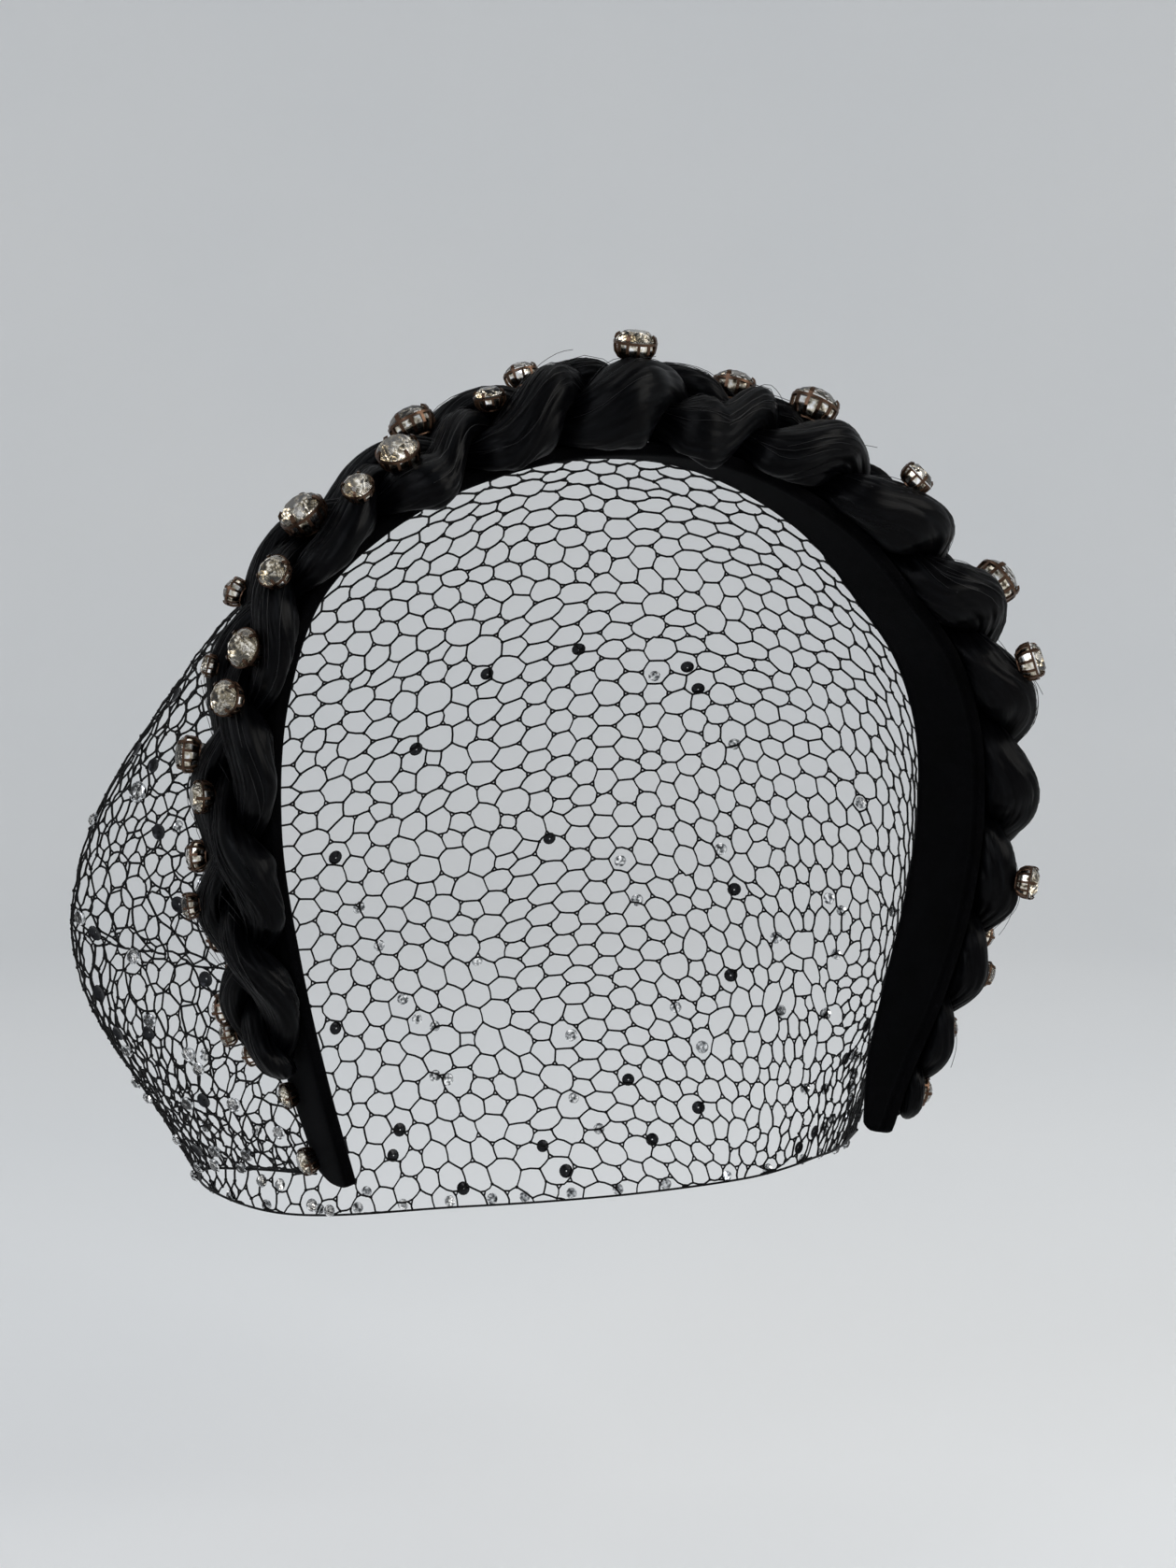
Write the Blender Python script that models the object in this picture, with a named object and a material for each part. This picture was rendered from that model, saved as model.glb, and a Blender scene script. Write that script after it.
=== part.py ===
"""Crystal headband: a three-strand hair plait on a velvet band, with crystals and a net veil.

Lengths in the tables are millimetres. +X is the wearer's side that shows on the right from
behind, -Y is behind, +Z is up. The origin is the inner face of the band at the crown, where
the band sits on the head.
"""

import math

import bmesh
import bpy
import numpy as np
from mathutils import Vector
from mathutils.bvhtree import BVHTree

MM = 0.001
TURN = 2.0 * math.pi

# The band: a stiff strip covered in velvet
BAND_THICKNESS = 3.2
BAND_EDGE_BEVEL = 0.9
BAND_RING_SPACING = 9.0
SMOOTH_ANGLE = 40.0
# The band's direction is taken over this much of its length each way
SLOPE_REACH = 2.0

# Inner face of the band in its own plane, from the left tip over the crown to the right tip,
# as it is spread when worn. Columns: side (X), height (Z), half of the band's width.
BAND_ROWS = (
    (-58.0, -145.5, 10.0),
    (-64.3, -124.0, 12.0),
    (-69.5, -100.0, 11.5),
    (-73.0, -73.0, 10.5),
    (-71.0, -47.0, 10.5),
    (-64.0, -28.5, 10.0),
    (-49.0, -15.0, 9.5),
    (-26.0, -4.5, 9.0),
    (0.0, 0.0, 9.0),
    (20.0, -1.2, 9.0),
    (39.5, -8.0, 10.0),
    (54.5, -17.5, 11.0),
    (66.5, -30.5, 12.0),
    (76.5, -43.0, 12.5),
    (81.5, -56.0, 12.5),
    (83.0, -78.0, 12.5),
    (79.5, -99.0, 12.5),
    (73.5, -118.0, 11.0),
    (68.0, -133.5, 8.0),
    (65.0, -147.5, 4.5),
)

# The plait: three strands that cross over the band's outer face
PLAIT_START = 25.0
PLAIT_END = 389.0
PLAIT_RING_SPACING = 4.4
STRAND_SIDES = 10
STRAND_SMOOTH_ANGLE = 60.0
STRAND_SQUARENESS = 2.3
STRAND_GAP = 0.6
BAND_GAP = 0.8
RIM_GAP = 1.5
# Shares of the plait's height: its middle line, how far a strand rises or dips where it
# crosses over or under, half of a strand
MIDDLE_HEIGHT = 0.47
CROSSING_RISE = 0.14
CROSSING_RISE_BASE = 0.9
STRAND_HALF_HEIGHT = 0.48
# Least room between a strand's centre and the plane that parts it from another strand
CENTRE_ROOM = 0.5
CENTRE_PASSES = 6
# A turn that hangs over the near rim keeps its centre this far above the band, and grows and
# moves out by these shares of what it would have sunk
CENTRE_CLEARANCE = 0.6
HANG_GROWTH = 0.8
HANG_OUT = 0.4
# Over this length the plait narrows to these shares of its reach and fullness at each end
END_TAPER = 9.0
END_REACH = 0.64
END_FULLNESS = 0.55

# How the plait changes along the arch. Columns: along (arc length from the left tip),
# height (plait above the band), reach (strand centre from the middle at either rim),
# strand_width (half of a strand across), rim_drop (how far the near rim curls down).
PLAIT_ROWS = (
    (25.0, 7.5, 7.5, 7.0, 1.0),
    (60.0, 8.8, 8.6, 8.0, 2.0),
    (95.0, 7.2, 8.6, 7.8, 1.5),
    (130.0, 7.6, 8.4, 8.0, 1.5),
    (150.0, 9.0, 8.0, 8.4, 2.5),
    (180.0, 14.0, 8.0, 9.0, 3.0),
    (240.0, 14.6, 8.0, 9.0, 2.0),
    (290.0, 14.6, 8.0, 9.0, 0.5),
    (320.0, 12.0, 7.8, 8.4, 0.0),
    (345.0, 8.4, 7.5, 7.6, 0.0),
    (370.0, 5.6, 6.5, 6.0, 0.0),
    (389.0, 4.6, 4.5, 4.5, 0.0),
)

# Every turn of a strand at the near rim. Columns: along, lift (the turn sits higher or lower
# than the rest), swell (fuller or thinner than the rest).
TURN_ROWS = (
    (20.0, 0.0, 1.00),
    (42.5, 0.0, 1.00),
    (62.5, 0.0, 1.00),
    (86.0, 0.0, 1.06),
    (108.0, 0.0, 1.00),
    (130.0, -1.0, 1.04),
    (150.5, -3.5, 1.00),
    (170.5, 0.0, 1.04),
    (192.0, 3.0, 1.16),
    (210.0, -5.5, 1.00),
    (230.0, 0.0, 1.04),
    (252.0, 1.0, 1.06),
    (275.0, 1.5, 1.06),
    (292.5, 0.0, 1.00),
    (312.0, 0.0, 1.04),
    (331.5, 0.0, 1.00),
    (350.5, 0.0, 1.00),
    (368.0, 0.0, 1.00),
    (385.0, 0.0, 1.00),
    (402.0, 0.0, 1.00),
)

# The crystals, in order along the arch. Columns: along, across (plus is towards the veil),
# diameter.
CRYSTAL_ROWS = (
    (4.0, 6.5, 6.0),
    (18.5, 6.0, 5.6),
    (27.5, 9.0, 5.6),
    (33.5, 5.0, 5.2),
    (37.0, 9.5, 6.6),
    (43.5, 8.0, 6.0),
    (51.0, 12.0, 6.6),
    (60.0, 4.0, 5.6),
    (68.0, 8.0, 6.8),
    (80.0, 0.5, 6.8),
    (87.0, 5.5, 7.8),
    (97.5, -6.0, 7.4),
    (102.5, 3.0, 5.0),
    (106.5, -6.0, 8.2),
    (116.0, 8.0, 6.2),
    (119.0, -7.0, 7.0),
    (129.5, -2.0, 10.0),
    (137.5, -8.0, 6.6),
    (147.5, -6.0, 9.0),
    (157.0, 4.0, 10.0),
    (169.0, -2.0, 6.8),
    (180.0, 4.0, 7.6),
    (190.0, 11.0, 7.0),
    (196.0, -3.0, 9.2),
    (209.5, 7.0, 7.0),
    (218.5, 1.5, 9.8),
    (233.0, 0.0, 11.0),
    (243.0, 10.0, 7.6),
    (252.0, -5.0, 7.6),
    (266.0, 6.0, 7.2),
    (281.0, -1.0, 11.0),
    (291.5, -7.0, 8.8),
    (305.0, 5.0, 8.0),
    (319.0, 3.0, 6.8),
    (332.0, -8.5, 7.6),
    (344.5, -1.0, 6.2),
    (352.0, -5.0, 6.0),
    (366.0, -3.0, 6.6),
    (373.5, 5.0, 5.6),
    (382.0, -2.0, 7.0),
)
CRYSTAL_GAP = 0.45
CRYSTAL_FACETS = 8
FACET_SHARP_ANGLE = 10.0
# On the plait a crystal leans this many degrees for each millimetre off the middle
LEAN_PER_MM = 4.5
# Where a crystal's seat is felt for: rings and spokes under it, and the start of each probe
SEAT_RINGS = 9
SEAT_SPOKES = 24
SEAT_REACH = 1.08
SEAT_PROBE = 50.0

# The veil: coarse net from the band's far edge forward round the face
VEIL_START = 6.0
VEIL_END = 388.0
VEIL_THICKNESS = 1.0
VEIL_CORD_WIDTH = 2.6
VEIL_COLUMNS_ACROSS = 24
VEIL_ROWS_DOWN = 12
# Columns stand closer together over the face than at the tips, by this share
VEIL_CROWDING = 0.28
VEIL_BORDER = 0.02
# A cell is cut only where it is roomy; where the net is gathered it stays closed
VEIL_CUT_RADIUS = 2.2
VEIL_EDGE_GAP = 1.9
HEM_CENTRE_SIDE = 3.0
HEM_HALF_WIDTH = 63.0
HEM_FLARE = 25.0
HEM_DEPTH = 84.0

# How the net swells between the band and its hem. Columns: across (share of the way from
# the left tip to the right), forward and bulge (pull at the band, ahead and outward), rise
# and swell (pull at the hem, up and outward), hem (its height).
SWELL_ROWS = (
    (0.00, 2.0, 0.0, 2.0, 0.0, -147.5),
    (0.07, 30.0, 24.0, 22.0, 18.0, -150.0),
    (0.15, 46.0, 45.0, 40.0, 30.0, -154.0),
    (0.20, 46.0, 42.0, 50.0, 30.0, -158.5),
    (0.25, 48.0, 18.0, 58.0, 28.0, -164.0),
    (0.36, 56.0, 4.0, 62.0, 20.0, -176.0),
    (0.50, 60.0, 4.0, 62.0, 20.0, -181.0),
    (0.64, 56.0, 6.0, 62.0, 20.0, -181.0),
    (0.75, 50.0, 16.0, 56.0, 22.0, -176.0),
    (0.85, 40.0, 26.0, 42.0, 22.0, -167.0),
    (0.93, 24.0, 18.0, 22.0, 12.0, -159.0),
    (1.00, 2.0, 0.0, 2.0, 0.0, -149.0),
)


def clear_scene():
    for old in list(bpy.data.objects):
        bpy.data.objects.remove(old, do_unlink=True)


def material(name, colour, roughness, metallic=0.0):
    made = bpy.data.materials.new(name)
    made.use_nodes = True
    shader = made.node_tree.nodes["Principled BSDF"]
    shader.inputs["Base Color"].default_value = (*colour, 1.0)
    shader.inputs["Roughness"].default_value = roughness
    shader.inputs["Metallic"].default_value = metallic
    made.diffuse_color = (*colour, 1.0)
    return made


def smooth_rows(keys, values, at):
    """Reads a smooth curve through table rows: a cubic through each pair of neighbours."""
    keys = np.asarray(keys, float)
    values = np.asarray(values, float)
    at = np.clip(np.asarray(at, float), keys[0], keys[-1])
    slopes = np.gradient(values, keys, axis=0)
    row = np.clip(np.searchsorted(keys, at, side="right") - 1, 0, len(keys) - 2)
    span = keys[row + 1] - keys[row]
    t = (at - keys[row]) / span
    shape = (len(at),) + (1,) * (values.ndim - 1)
    t = t.reshape(shape)
    span = span.reshape(shape)
    return (
        (2 * t**3 - 3 * t**2 + 1) * values[row]
        + (t**3 - 2 * t**2 + t) * span * slopes[row]
        + (3 * t**2 - 2 * t**3) * values[row + 1]
        + (t**3 - t**2) * span * slopes[row + 1]
    )


class Arch:
    """The band's inner face as a curve of arc length, with its outward direction."""

    def __init__(self, rows, samples=2000):
        rows = np.array(rows)
        steps = np.hypot(*np.diff(rows[:, :2], axis=0).T)
        keys = np.concatenate(([0.0], np.cumsum(steps)))
        fine = np.linspace(0.0, keys[-1], samples)
        self.points = smooth_rows(keys, rows, fine)
        lengths = np.hypot(*np.diff(self.points[:, :2], axis=0).T)
        self.along = np.concatenate(([0.0], np.cumsum(lengths)))
        self.length = self.along[-1]

    def at(self, along):
        """Side, height and half width at each arc length."""
        return np.stack([np.interp(along, self.along, column) for column in self.points.T], -1)

    def outward(self, along):
        before = self.at(np.clip(along - SLOPE_REACH, 0, self.length))[:, :2]
        after = self.at(np.clip(along + SLOPE_REACH, 0, self.length))[:, :2]
        step = after - before
        step /= np.linalg.norm(step, axis=1)[:, None]
        return np.stack([-step[:, 1], step[:, 0]], -1)

    def place(self, along, across, up):
        """Points in space from arc length, distance across (Y) and height above the band's
        inner face. across and up may hold a ring of values for each arc length."""
        spot = self.at(along)
        out = self.outward(along)
        side = spot[:, 0, None] + out[:, 0, None] * up
        height = spot[:, 1, None] + out[:, 1, None] * up
        return np.stack([side, across + np.zeros_like(up), height], -1) * MM


ARCH = Arch(BAND_ROWS)


def band_section(half_width):
    """Bevelled strip, as points (across, up)."""
    w, t, b = half_width, BAND_THICKNESS, BAND_EDGE_BEVEL
    return np.array(
        [(-w + b, 0), (w - b, 0), (w, b), (w, t - b), (w - b, t), (-w + b, t), (-w, t - b), (-w, b)]
    )


def closed_tube(name, rings, finish, smooth_angle):
    """One closed body from rings of points, with a flat cap at each end."""
    sides = rings.shape[1]
    shape = bmesh.new()
    grid = [[shape.verts.new(point) for point in ring] for ring in rings]
    for a, b in zip(grid, grid[1:]):
        for i in range(sides):
            j = (i + 1) % sides
            shape.faces.new((a[i], a[j], b[j], b[i]))
    shape.faces.new(grid[0][::-1])
    shape.faces.new(grid[-1])
    return finished(name, shape, finish, smooth_angle)


def finished(name, shape, finish, smooth_angle):
    bmesh.ops.recalc_face_normals(shape, faces=shape.faces)
    mesh = bpy.data.meshes.new(name)
    shape.to_mesh(mesh)
    shape.free()
    mesh.shade_smooth()
    mesh.set_sharp_from_angle(angle=math.radians(smooth_angle))
    mesh.materials.append(finish)
    made = bpy.data.objects.new(name, mesh)
    bpy.context.scene.collection.objects.link(made)
    return made


def make_band(finish):
    stations = np.linspace(0.0, ARCH.length, round(ARCH.length / BAND_RING_SPACING))
    sections = np.array([band_section(w) for w in ARCH.at(stations)[:, 2]])
    rings = ARCH.place(stations, sections[:, :, 0], sections[:, :, 1])
    return closed_tube("base_band", rings, finish, SMOOTH_ANGLE)


def plait_centres(along):
    """Centre (across, up) and half sizes of each of the three strands at each arc length."""
    rows = np.array(PLAIT_ROWS)
    height, reach, width, drop = smooth_rows(rows[:, 0], rows[:, 1:], along).T
    turns = np.array(TURN_ROWS)
    number = smooth_rows(turns[:, 0], np.arange(len(turns)), along)
    lift, swell = smooth_rows(turns[:, 0], turns[:, 1:], along).T
    ends = np.minimum(along - PLAIT_START, PLAIT_END - along) / END_TAPER
    ends = np.sin(0.5 * math.pi * np.clip(ends, 0.0, 1.0))
    reach = reach * (END_REACH + (1.0 - END_REACH) * ends)
    full = END_FULLNESS + (1.0 - END_FULLNESS) * ends
    middle = BAND_THICKNESS + BAND_GAP + MIDDLE_HEIGHT * height * full
    centres = []
    sizes = []
    for strand in range(3):
        angle = TURN / 3.0 * (number + strand)
        near = np.clip(np.cos(angle), 0.0, 1.0) ** 2
        across = -reach * np.cos(angle)
        rise = (CROSSING_RISE_BASE + CROSSING_RISE * height) * full
        up = middle + rise * np.sin(2.0 * angle) + (lift - drop) * near
        hang = np.maximum(BAND_THICKNESS + BAND_GAP + CENTRE_CLEARANCE - up, 0.0)
        across = across - HANG_OUT * hang * near
        up = up + hang
        centres.append(np.stack([across, up], -1))
        fuller = (1.0 + (swell - 1.0) * near) * full
        deep = STRAND_HALF_HEIGHT * height * fuller + HANG_GROWTH * hang
        sizes.append(np.stack([width * fuller, deep], -1))
    return np.array(centres), np.array(sizes)


def parting_planes(along, strand):
    """Planes that part a strand from the other two, as (normal, offset) for each ring. They
    stand halfway between rings, and each ring keeps to the one before it and the one after,
    so the strands stay apart between rings as well."""
    centres = plait_centres(0.5 * (along[1:] + along[:-1]))[0]
    before = np.maximum(np.arange(len(along)) - 1, 0)
    after = np.minimum(np.arange(len(along)), len(along) - 2)
    planes = []
    for other in range(3):
        if other == strand:
            continue
        apart = centres[other] - centres[strand]
        normal = apart / np.linalg.norm(apart, axis=-1)[:, None]
        halfway = 0.5 * (centres[other] + centres[strand])
        offset = np.sum(normal * halfway, axis=-1) - 0.5 * STRAND_GAP
        planes += [(normal[pick], offset[pick]) for pick in (before, after)]
    return planes


def strand_rings(along, strand, sides):
    """Rings of a strand: as round as it can be, flattened where it meets the other two
    strands and the band."""
    centres, sizes = plait_centres(along)
    own = centres[strand]
    planes = parting_planes(along, strand)
    for _ in range(CENTRE_PASSES):
        for normal, offset in planes:
            over = np.sum(own * normal, axis=-1) - offset + CENTRE_ROOM
            own = own - normal * np.maximum(over, 0.0)[:, None]
    angle = np.arange(sides) * TURN / sides
    ray = np.stack([np.cos(angle), np.sin(angle)], -1)[None]
    ratio = np.abs(ray) / sizes[strand][:, None, :]
    limit = np.sum(ratio**STRAND_SQUARENESS, axis=-1) ** (-1.0 / STRAND_SQUARENESS)
    for normal, offset in planes:
        room = (offset - np.sum(own * normal, axis=-1))[:, None]
        towards = np.sum(ray * normal[:, None, :], axis=-1)
        meets = room / np.maximum(towards, 1e-3)
        limit = np.where(towards > 1e-3, np.minimum(limit, meets), limit)
    own = own[:, None, :]
    limit = np.minimum(limit, band_limit(along, own, ray))
    ring = own + ray * limit[:, :, None]
    return ARCH.place(along, ring[:, :, 0], ring[:, :, 1])


def band_limit(along, start, ray):
    """How far a ray from a strand's centre goes before it comes too near the band."""
    edge = ARCH.at(along)[:, 2][:, None] + RIM_GAP
    top = BAND_THICKNESS + BAND_GAP
    slant = edge + top - BAND_EDGE_BEVEL
    planes = (((0, 1), top), ((0, -1), BAND_GAP), ((1, 0), edge), ((-1, 0), edge),
              ((1, 1), slant), ((-1, 1), slant))
    enter = np.zeros(np.broadcast_shapes(start.shape, ray.shape)[:-1])
    leave = np.full_like(enter, 1e6)
    for normal, offset in planes:
        normal = np.array(normal, float)
        speed = np.sum(ray * normal, axis=-1) + np.zeros_like(enter)
        distance = offset - np.sum(start * normal, axis=-1)
        when = distance / np.where(np.abs(speed) < 1e-9, 1e-9, speed)
        enter = np.where(speed < 0, np.maximum(enter, when), enter)
        leave = np.where(speed > 0, np.minimum(leave, when), leave)
    return np.where((enter < leave) & (enter > 0), enter, 1e6)


def make_plait(finish):
    count = round((PLAIT_END - PLAIT_START) / PLAIT_RING_SPACING)
    stations = np.linspace(PLAIT_START, PLAIT_END, count)
    strands = []
    for strand in range(3):
        rings = strand_rings(stations, strand, STRAND_SIDES)
        name = f"braid_strand_{strand + 1}"
        strands.append(closed_tube(name, rings, finish, STRAND_SMOOTH_ANGLE))
    return strands


def surface_of(objects):
    """One search tree over the meshes of several objects, which all sit at the origin."""
    points = []
    faces = []
    for item in objects:
        start = len(points)
        points += [vertex.co for vertex in item.data.vertices]
        faces += [[start + i for i in face.vertices] for face in item.data.polygons]
    return BVHTree.FromPolygons(points, faces)


def crystal_profile(diameter):
    """Setting and stone from the base up, as (radius, height) pairs."""
    radius = 0.5 * diameter
    return (
        (0.55 * radius, 0.0),
        (0.97 * radius, 0.42 * radius),
        (1.00 * radius, 0.74 * radius),
        (0.90 * radius, 0.84 * radius),
        (0.54 * radius, 1.14 * radius),
    )


def crystal_seat(along, across, diameter, carriers):
    """Base point and axes of a crystal that rests on whatever lies beneath it. On the round
    of the plait it leans out to its own side."""
    out = ARCH.outward(np.array([along]))[0]
    on_plait = PLAIT_START < along < PLAIT_END
    lean = math.radians(LEAN_PER_MM * across) if on_plait else 0.0
    axis = Vector((out[0] * math.cos(lean), math.sin(lean), out[1] * math.cos(lean)))
    height = BAND_THICKNESS + (0.5 * BAND_THICKNESS if on_plait else 0.0)
    start = Vector(ARCH.place(np.array([along]), across, np.full((1, 1), height))[0, 0])
    along_band = Vector((out[1], 0.0, -out[0]))
    across_band = axis.cross(along_band)
    (base_radius, _), (cup_radius, cup_height) = crystal_profile(diameter)[:2]
    slope = cup_height / (cup_radius - base_radius)
    seat = 0.0
    for radius in np.linspace(0.0, SEAT_REACH * cup_radius, SEAT_RINGS):
        under = max(0.0, radius - base_radius) * slope
        for k in range(SEAT_SPOKES):
            angle = TURN * k / SEAT_SPOKES
            spoke = along_band * math.cos(angle) + across_band * math.sin(angle)
            spot = start + spoke * radius * MM
            hit = carriers.ray_cast(spot + axis * SEAT_PROBE * MM, -axis)[0]
            if hit is not None:
                seat = max(seat, (hit - start).dot(axis) - under * MM)
    return start + axis * (seat + CRYSTAL_GAP * MM), axis, along_band, across_band


def make_crystal(name, along, across, diameter, carriers, finish):
    """A cut stone in its cup: cup wall, girdle, crown of kite facets and a flat table."""
    base, axis, along_band, across_band = crystal_seat(along, across, diameter, carriers)
    profile = crystal_profile(diameter)
    shape = bmesh.new()
    rings = []
    for level, (radius, height) in enumerate(profile):
        turn = 0.5 if level == len(profile) - 1 else 0.0
        ring = []
        for k in range(CRYSTAL_FACETS):
            angle = TURN * (k + turn) / CRYSTAL_FACETS
            spoke = along_band * math.cos(angle) + across_band * math.sin(angle)
            ring.append(shape.verts.new(base + spoke * radius * MM + axis * height * MM))
        rings.append(ring)
    for a, b in zip(rings[:-2], rings[1:-1]):
        for i in range(CRYSTAL_FACETS):
            j = (i + 1) % CRYSTAL_FACETS
            shape.faces.new((a[i], a[j], b[j], b[i]))
    girdle, table = rings[-2:]
    for i in range(CRYSTAL_FACETS):
        j = (i + 1) % CRYSTAL_FACETS
        shape.faces.new((girdle[i], girdle[j], table[i]))
        shape.faces.new((girdle[j], table[j], table[i]))
    shape.faces.new(rings[0][::-1])
    shape.faces.new(table)
    return finished(name, shape, finish, FACET_SHARP_ANGLE)


def veil_surface(across, down):
    """Point of the net: across runs 0 to 1 along the band, down runs 0 to 1 to the hem."""
    along = VEIL_START + (VEIL_END - VEIL_START) * across
    spot = ARCH.at(along)
    out = ARCH.outward(along)
    edge = spot[:, 2] + VEIL_EDGE_GAP
    half = 0.5 * BAND_THICKNESS
    rim = np.stack([spot[:, 0] + out[:, 0] * half, edge, spot[:, 1] + out[:, 1] * half], -1)
    angle = math.pi * across
    hem_side = HEM_HALF_WIDTH * np.cos(angle) + HEM_FLARE * np.sin(2.0 * angle)
    hem_ahead = edge + HEM_DEPTH * np.sin(angle)
    rows = np.array(SWELL_ROWS)
    forward, bulge, rise, swell, hem_height = smooth_rows(rows[:, 0], rows[:, 1:], across).T
    hem = np.stack([HEM_CENTRE_SIDE - hem_side, hem_ahead, hem_height], -1)
    first = rim + np.stack([out[:, 0] * bulge, forward, out[:, 1] * bulge], -1)
    last = hem + np.stack([-np.cos(angle) * swell, np.sin(angle) * swell, rise], -1)
    t = down[:, None]
    return ((1 - t) ** 3 * rim + 3 * (1 - t) ** 2 * t * first
            + 3 * (1 - t) * t**2 * last + t**3 * hem) * MM


def make_veil(finish):
    """Diamond net cut right through, with a closed border along every edge."""
    wide, deep = VEIL_COLUMNS_ACROSS, VEIL_ROWS_DOWN
    shares = np.linspace(0.0, 1.0, wide + 1)
    shares = shares + VEIL_CROWDING * np.sin(TURN * shares) / TURN
    levels = np.concatenate(([0.0], np.linspace(VEIL_BORDER, 1.0 - VEIL_BORDER, deep - 1), [1.0]))
    shape = bmesh.new()
    grid = {}
    for p in range(wide + 1):
        for q in range(deep + 1):
            if (p + q) % 2 == 0:
                spot = veil_surface(shares[p : p + 1], levels[q : q + 1])[0]
                grid[p, q] = shape.verts.new(spot)
    cells = []
    for p in range(wide + 1):
        for q in range(deep + 1):
            if (p + q) % 2 == 0:
                continue
            corners = [grid.get(key) for key in ((p - 1, q), (p, q + 1), (p + 1, q), (p, q - 1))]
            corners = [corner for corner in corners if corner]
            if len(corners) < 3:
                continue
            face = shape.faces.new(corners)
            radius = 2.0 * face.calc_area() / face.calc_perimeter()
            if len(corners) == 4 and radius > VEIL_CUT_RADIUS * MM:
                cells.append(face)
    shape.normal_update()
    bmesh.ops.inset_individual(shape, faces=cells, thickness=0.5 * VEIL_CORD_WIDTH * MM)
    bmesh.ops.delete(shape, geom=cells, context="FACES")
    veil = finished("veil_net", shape, finish, SMOOTH_ANGLE)
    wall = veil.modifiers.new("wall", "SOLIDIFY")
    wall.thickness = VEIL_THICKNESS * MM
    wall.offset = 0.0
    return veil


def build():
    clear_scene()
    velvet = material("black_velvet", (0.006, 0.006, 0.007), 0.95)
    hair = material("black_hair", (0.01, 0.01, 0.012), 0.35)
    crystal = material("clear_crystal_in_brown_gold", (0.62, 0.55, 0.44), 0.08, 0.4)
    net = material("black_net", (0.008, 0.008, 0.008), 0.7)
    band = make_band(velvet)
    strands = make_plait(hair)
    carriers = surface_of([band] + strands)
    for number, row in enumerate(CRYSTAL_ROWS, 1):
        make_crystal(f"crystal_{number:02d}", *row, carriers, crystal)
    make_veil(net)


build()
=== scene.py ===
import math

import bmesh
import bpy
import numpy as np
from mathutils import Matrix, Quaternion, Vector
from mathutils.bvhtree import BVHTree
from mathutils.geometry import delaunay_2d_cdt


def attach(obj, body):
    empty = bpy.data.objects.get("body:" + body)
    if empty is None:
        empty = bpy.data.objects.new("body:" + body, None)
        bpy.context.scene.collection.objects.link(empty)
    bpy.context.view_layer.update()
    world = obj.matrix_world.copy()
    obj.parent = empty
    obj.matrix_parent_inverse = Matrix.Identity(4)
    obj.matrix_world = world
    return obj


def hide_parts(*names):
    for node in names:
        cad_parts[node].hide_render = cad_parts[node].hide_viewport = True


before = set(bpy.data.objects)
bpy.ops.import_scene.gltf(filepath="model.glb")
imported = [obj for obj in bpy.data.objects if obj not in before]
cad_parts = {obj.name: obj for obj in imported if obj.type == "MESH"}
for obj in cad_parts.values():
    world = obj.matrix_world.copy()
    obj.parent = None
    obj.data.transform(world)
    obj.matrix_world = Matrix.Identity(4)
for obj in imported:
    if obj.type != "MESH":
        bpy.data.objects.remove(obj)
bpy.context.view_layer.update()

MM = 0.001
TURN = 2.0 * math.pi

# The arch, the plait and the veil are laid out by the same tables as the solids, in millimetres
BAND_THICKNESS = 3.2
BAND_EDGE_BEVEL = 0.9
SLOPE_REACH = 2.0

# Inner face of the band. Columns: side (X), height (Z), half of the band's width.
BAND_ROWS = (
    (-58.0, -145.5, 10.0),
    (-64.3, -124.0, 12.0),
    (-69.5, -100.0, 11.5),
    (-73.0, -73.0, 10.5),
    (-71.0, -47.0, 10.5),
    (-64.0, -28.5, 10.0),
    (-49.0, -15.0, 9.5),
    (-26.0, -4.5, 9.0),
    (0.0, 0.0, 9.0),
    (20.0, -1.2, 9.0),
    (39.5, -8.0, 10.0),
    (54.5, -17.5, 11.0),
    (66.5, -30.5, 12.0),
    (76.5, -43.0, 12.5),
    (81.5, -56.0, 12.5),
    (83.0, -78.0, 12.5),
    (79.5, -99.0, 12.5),
    (73.5, -118.0, 11.0),
    (68.0, -133.5, 8.0),
    (65.0, -147.5, 4.5),
)

PLAIT_START = 25.0
PLAIT_END = 389.0
STRAND_SQUARENESS = 2.3
BAND_GAP = 0.8
MIDDLE_HEIGHT = 0.47
CROSSING_RISE = 0.14
CROSSING_RISE_BASE = 0.9
STRAND_HALF_HEIGHT = 0.48
CENTRE_ROOM = 0.5
CENTRE_PASSES = 6
CENTRE_CLEARANCE = 0.6
HANG_GROWTH = 0.8
HANG_OUT = 0.4
END_TAPER = 9.0
END_REACH = 0.72
END_FULLNESS = 0.78

# Columns: along, height above the band, reach, half width of a strand, rim drop
PLAIT_ROWS = (
    (25.0, 7.5, 7.5, 7.0, 1.0),
    (60.0, 8.8, 8.6, 8.0, 2.0),
    (95.0, 7.2, 8.6, 7.8, 1.5),
    (130.0, 7.6, 8.4, 8.0, 1.5),
    (150.0, 9.0, 8.0, 8.4, 2.5),
    (180.0, 14.0, 8.0, 9.0, 3.0),
    (240.0, 14.6, 8.0, 9.0, 2.0),
    (290.0, 14.6, 8.0, 9.0, 0.5),
    (320.0, 12.0, 7.8, 8.4, 0.0),
    (345.0, 8.4, 7.5, 7.6, 0.0),
    (370.0, 5.6, 6.5, 6.0, 0.0),
    (389.0, 4.6, 4.5, 4.5, 0.0),
)

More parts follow.
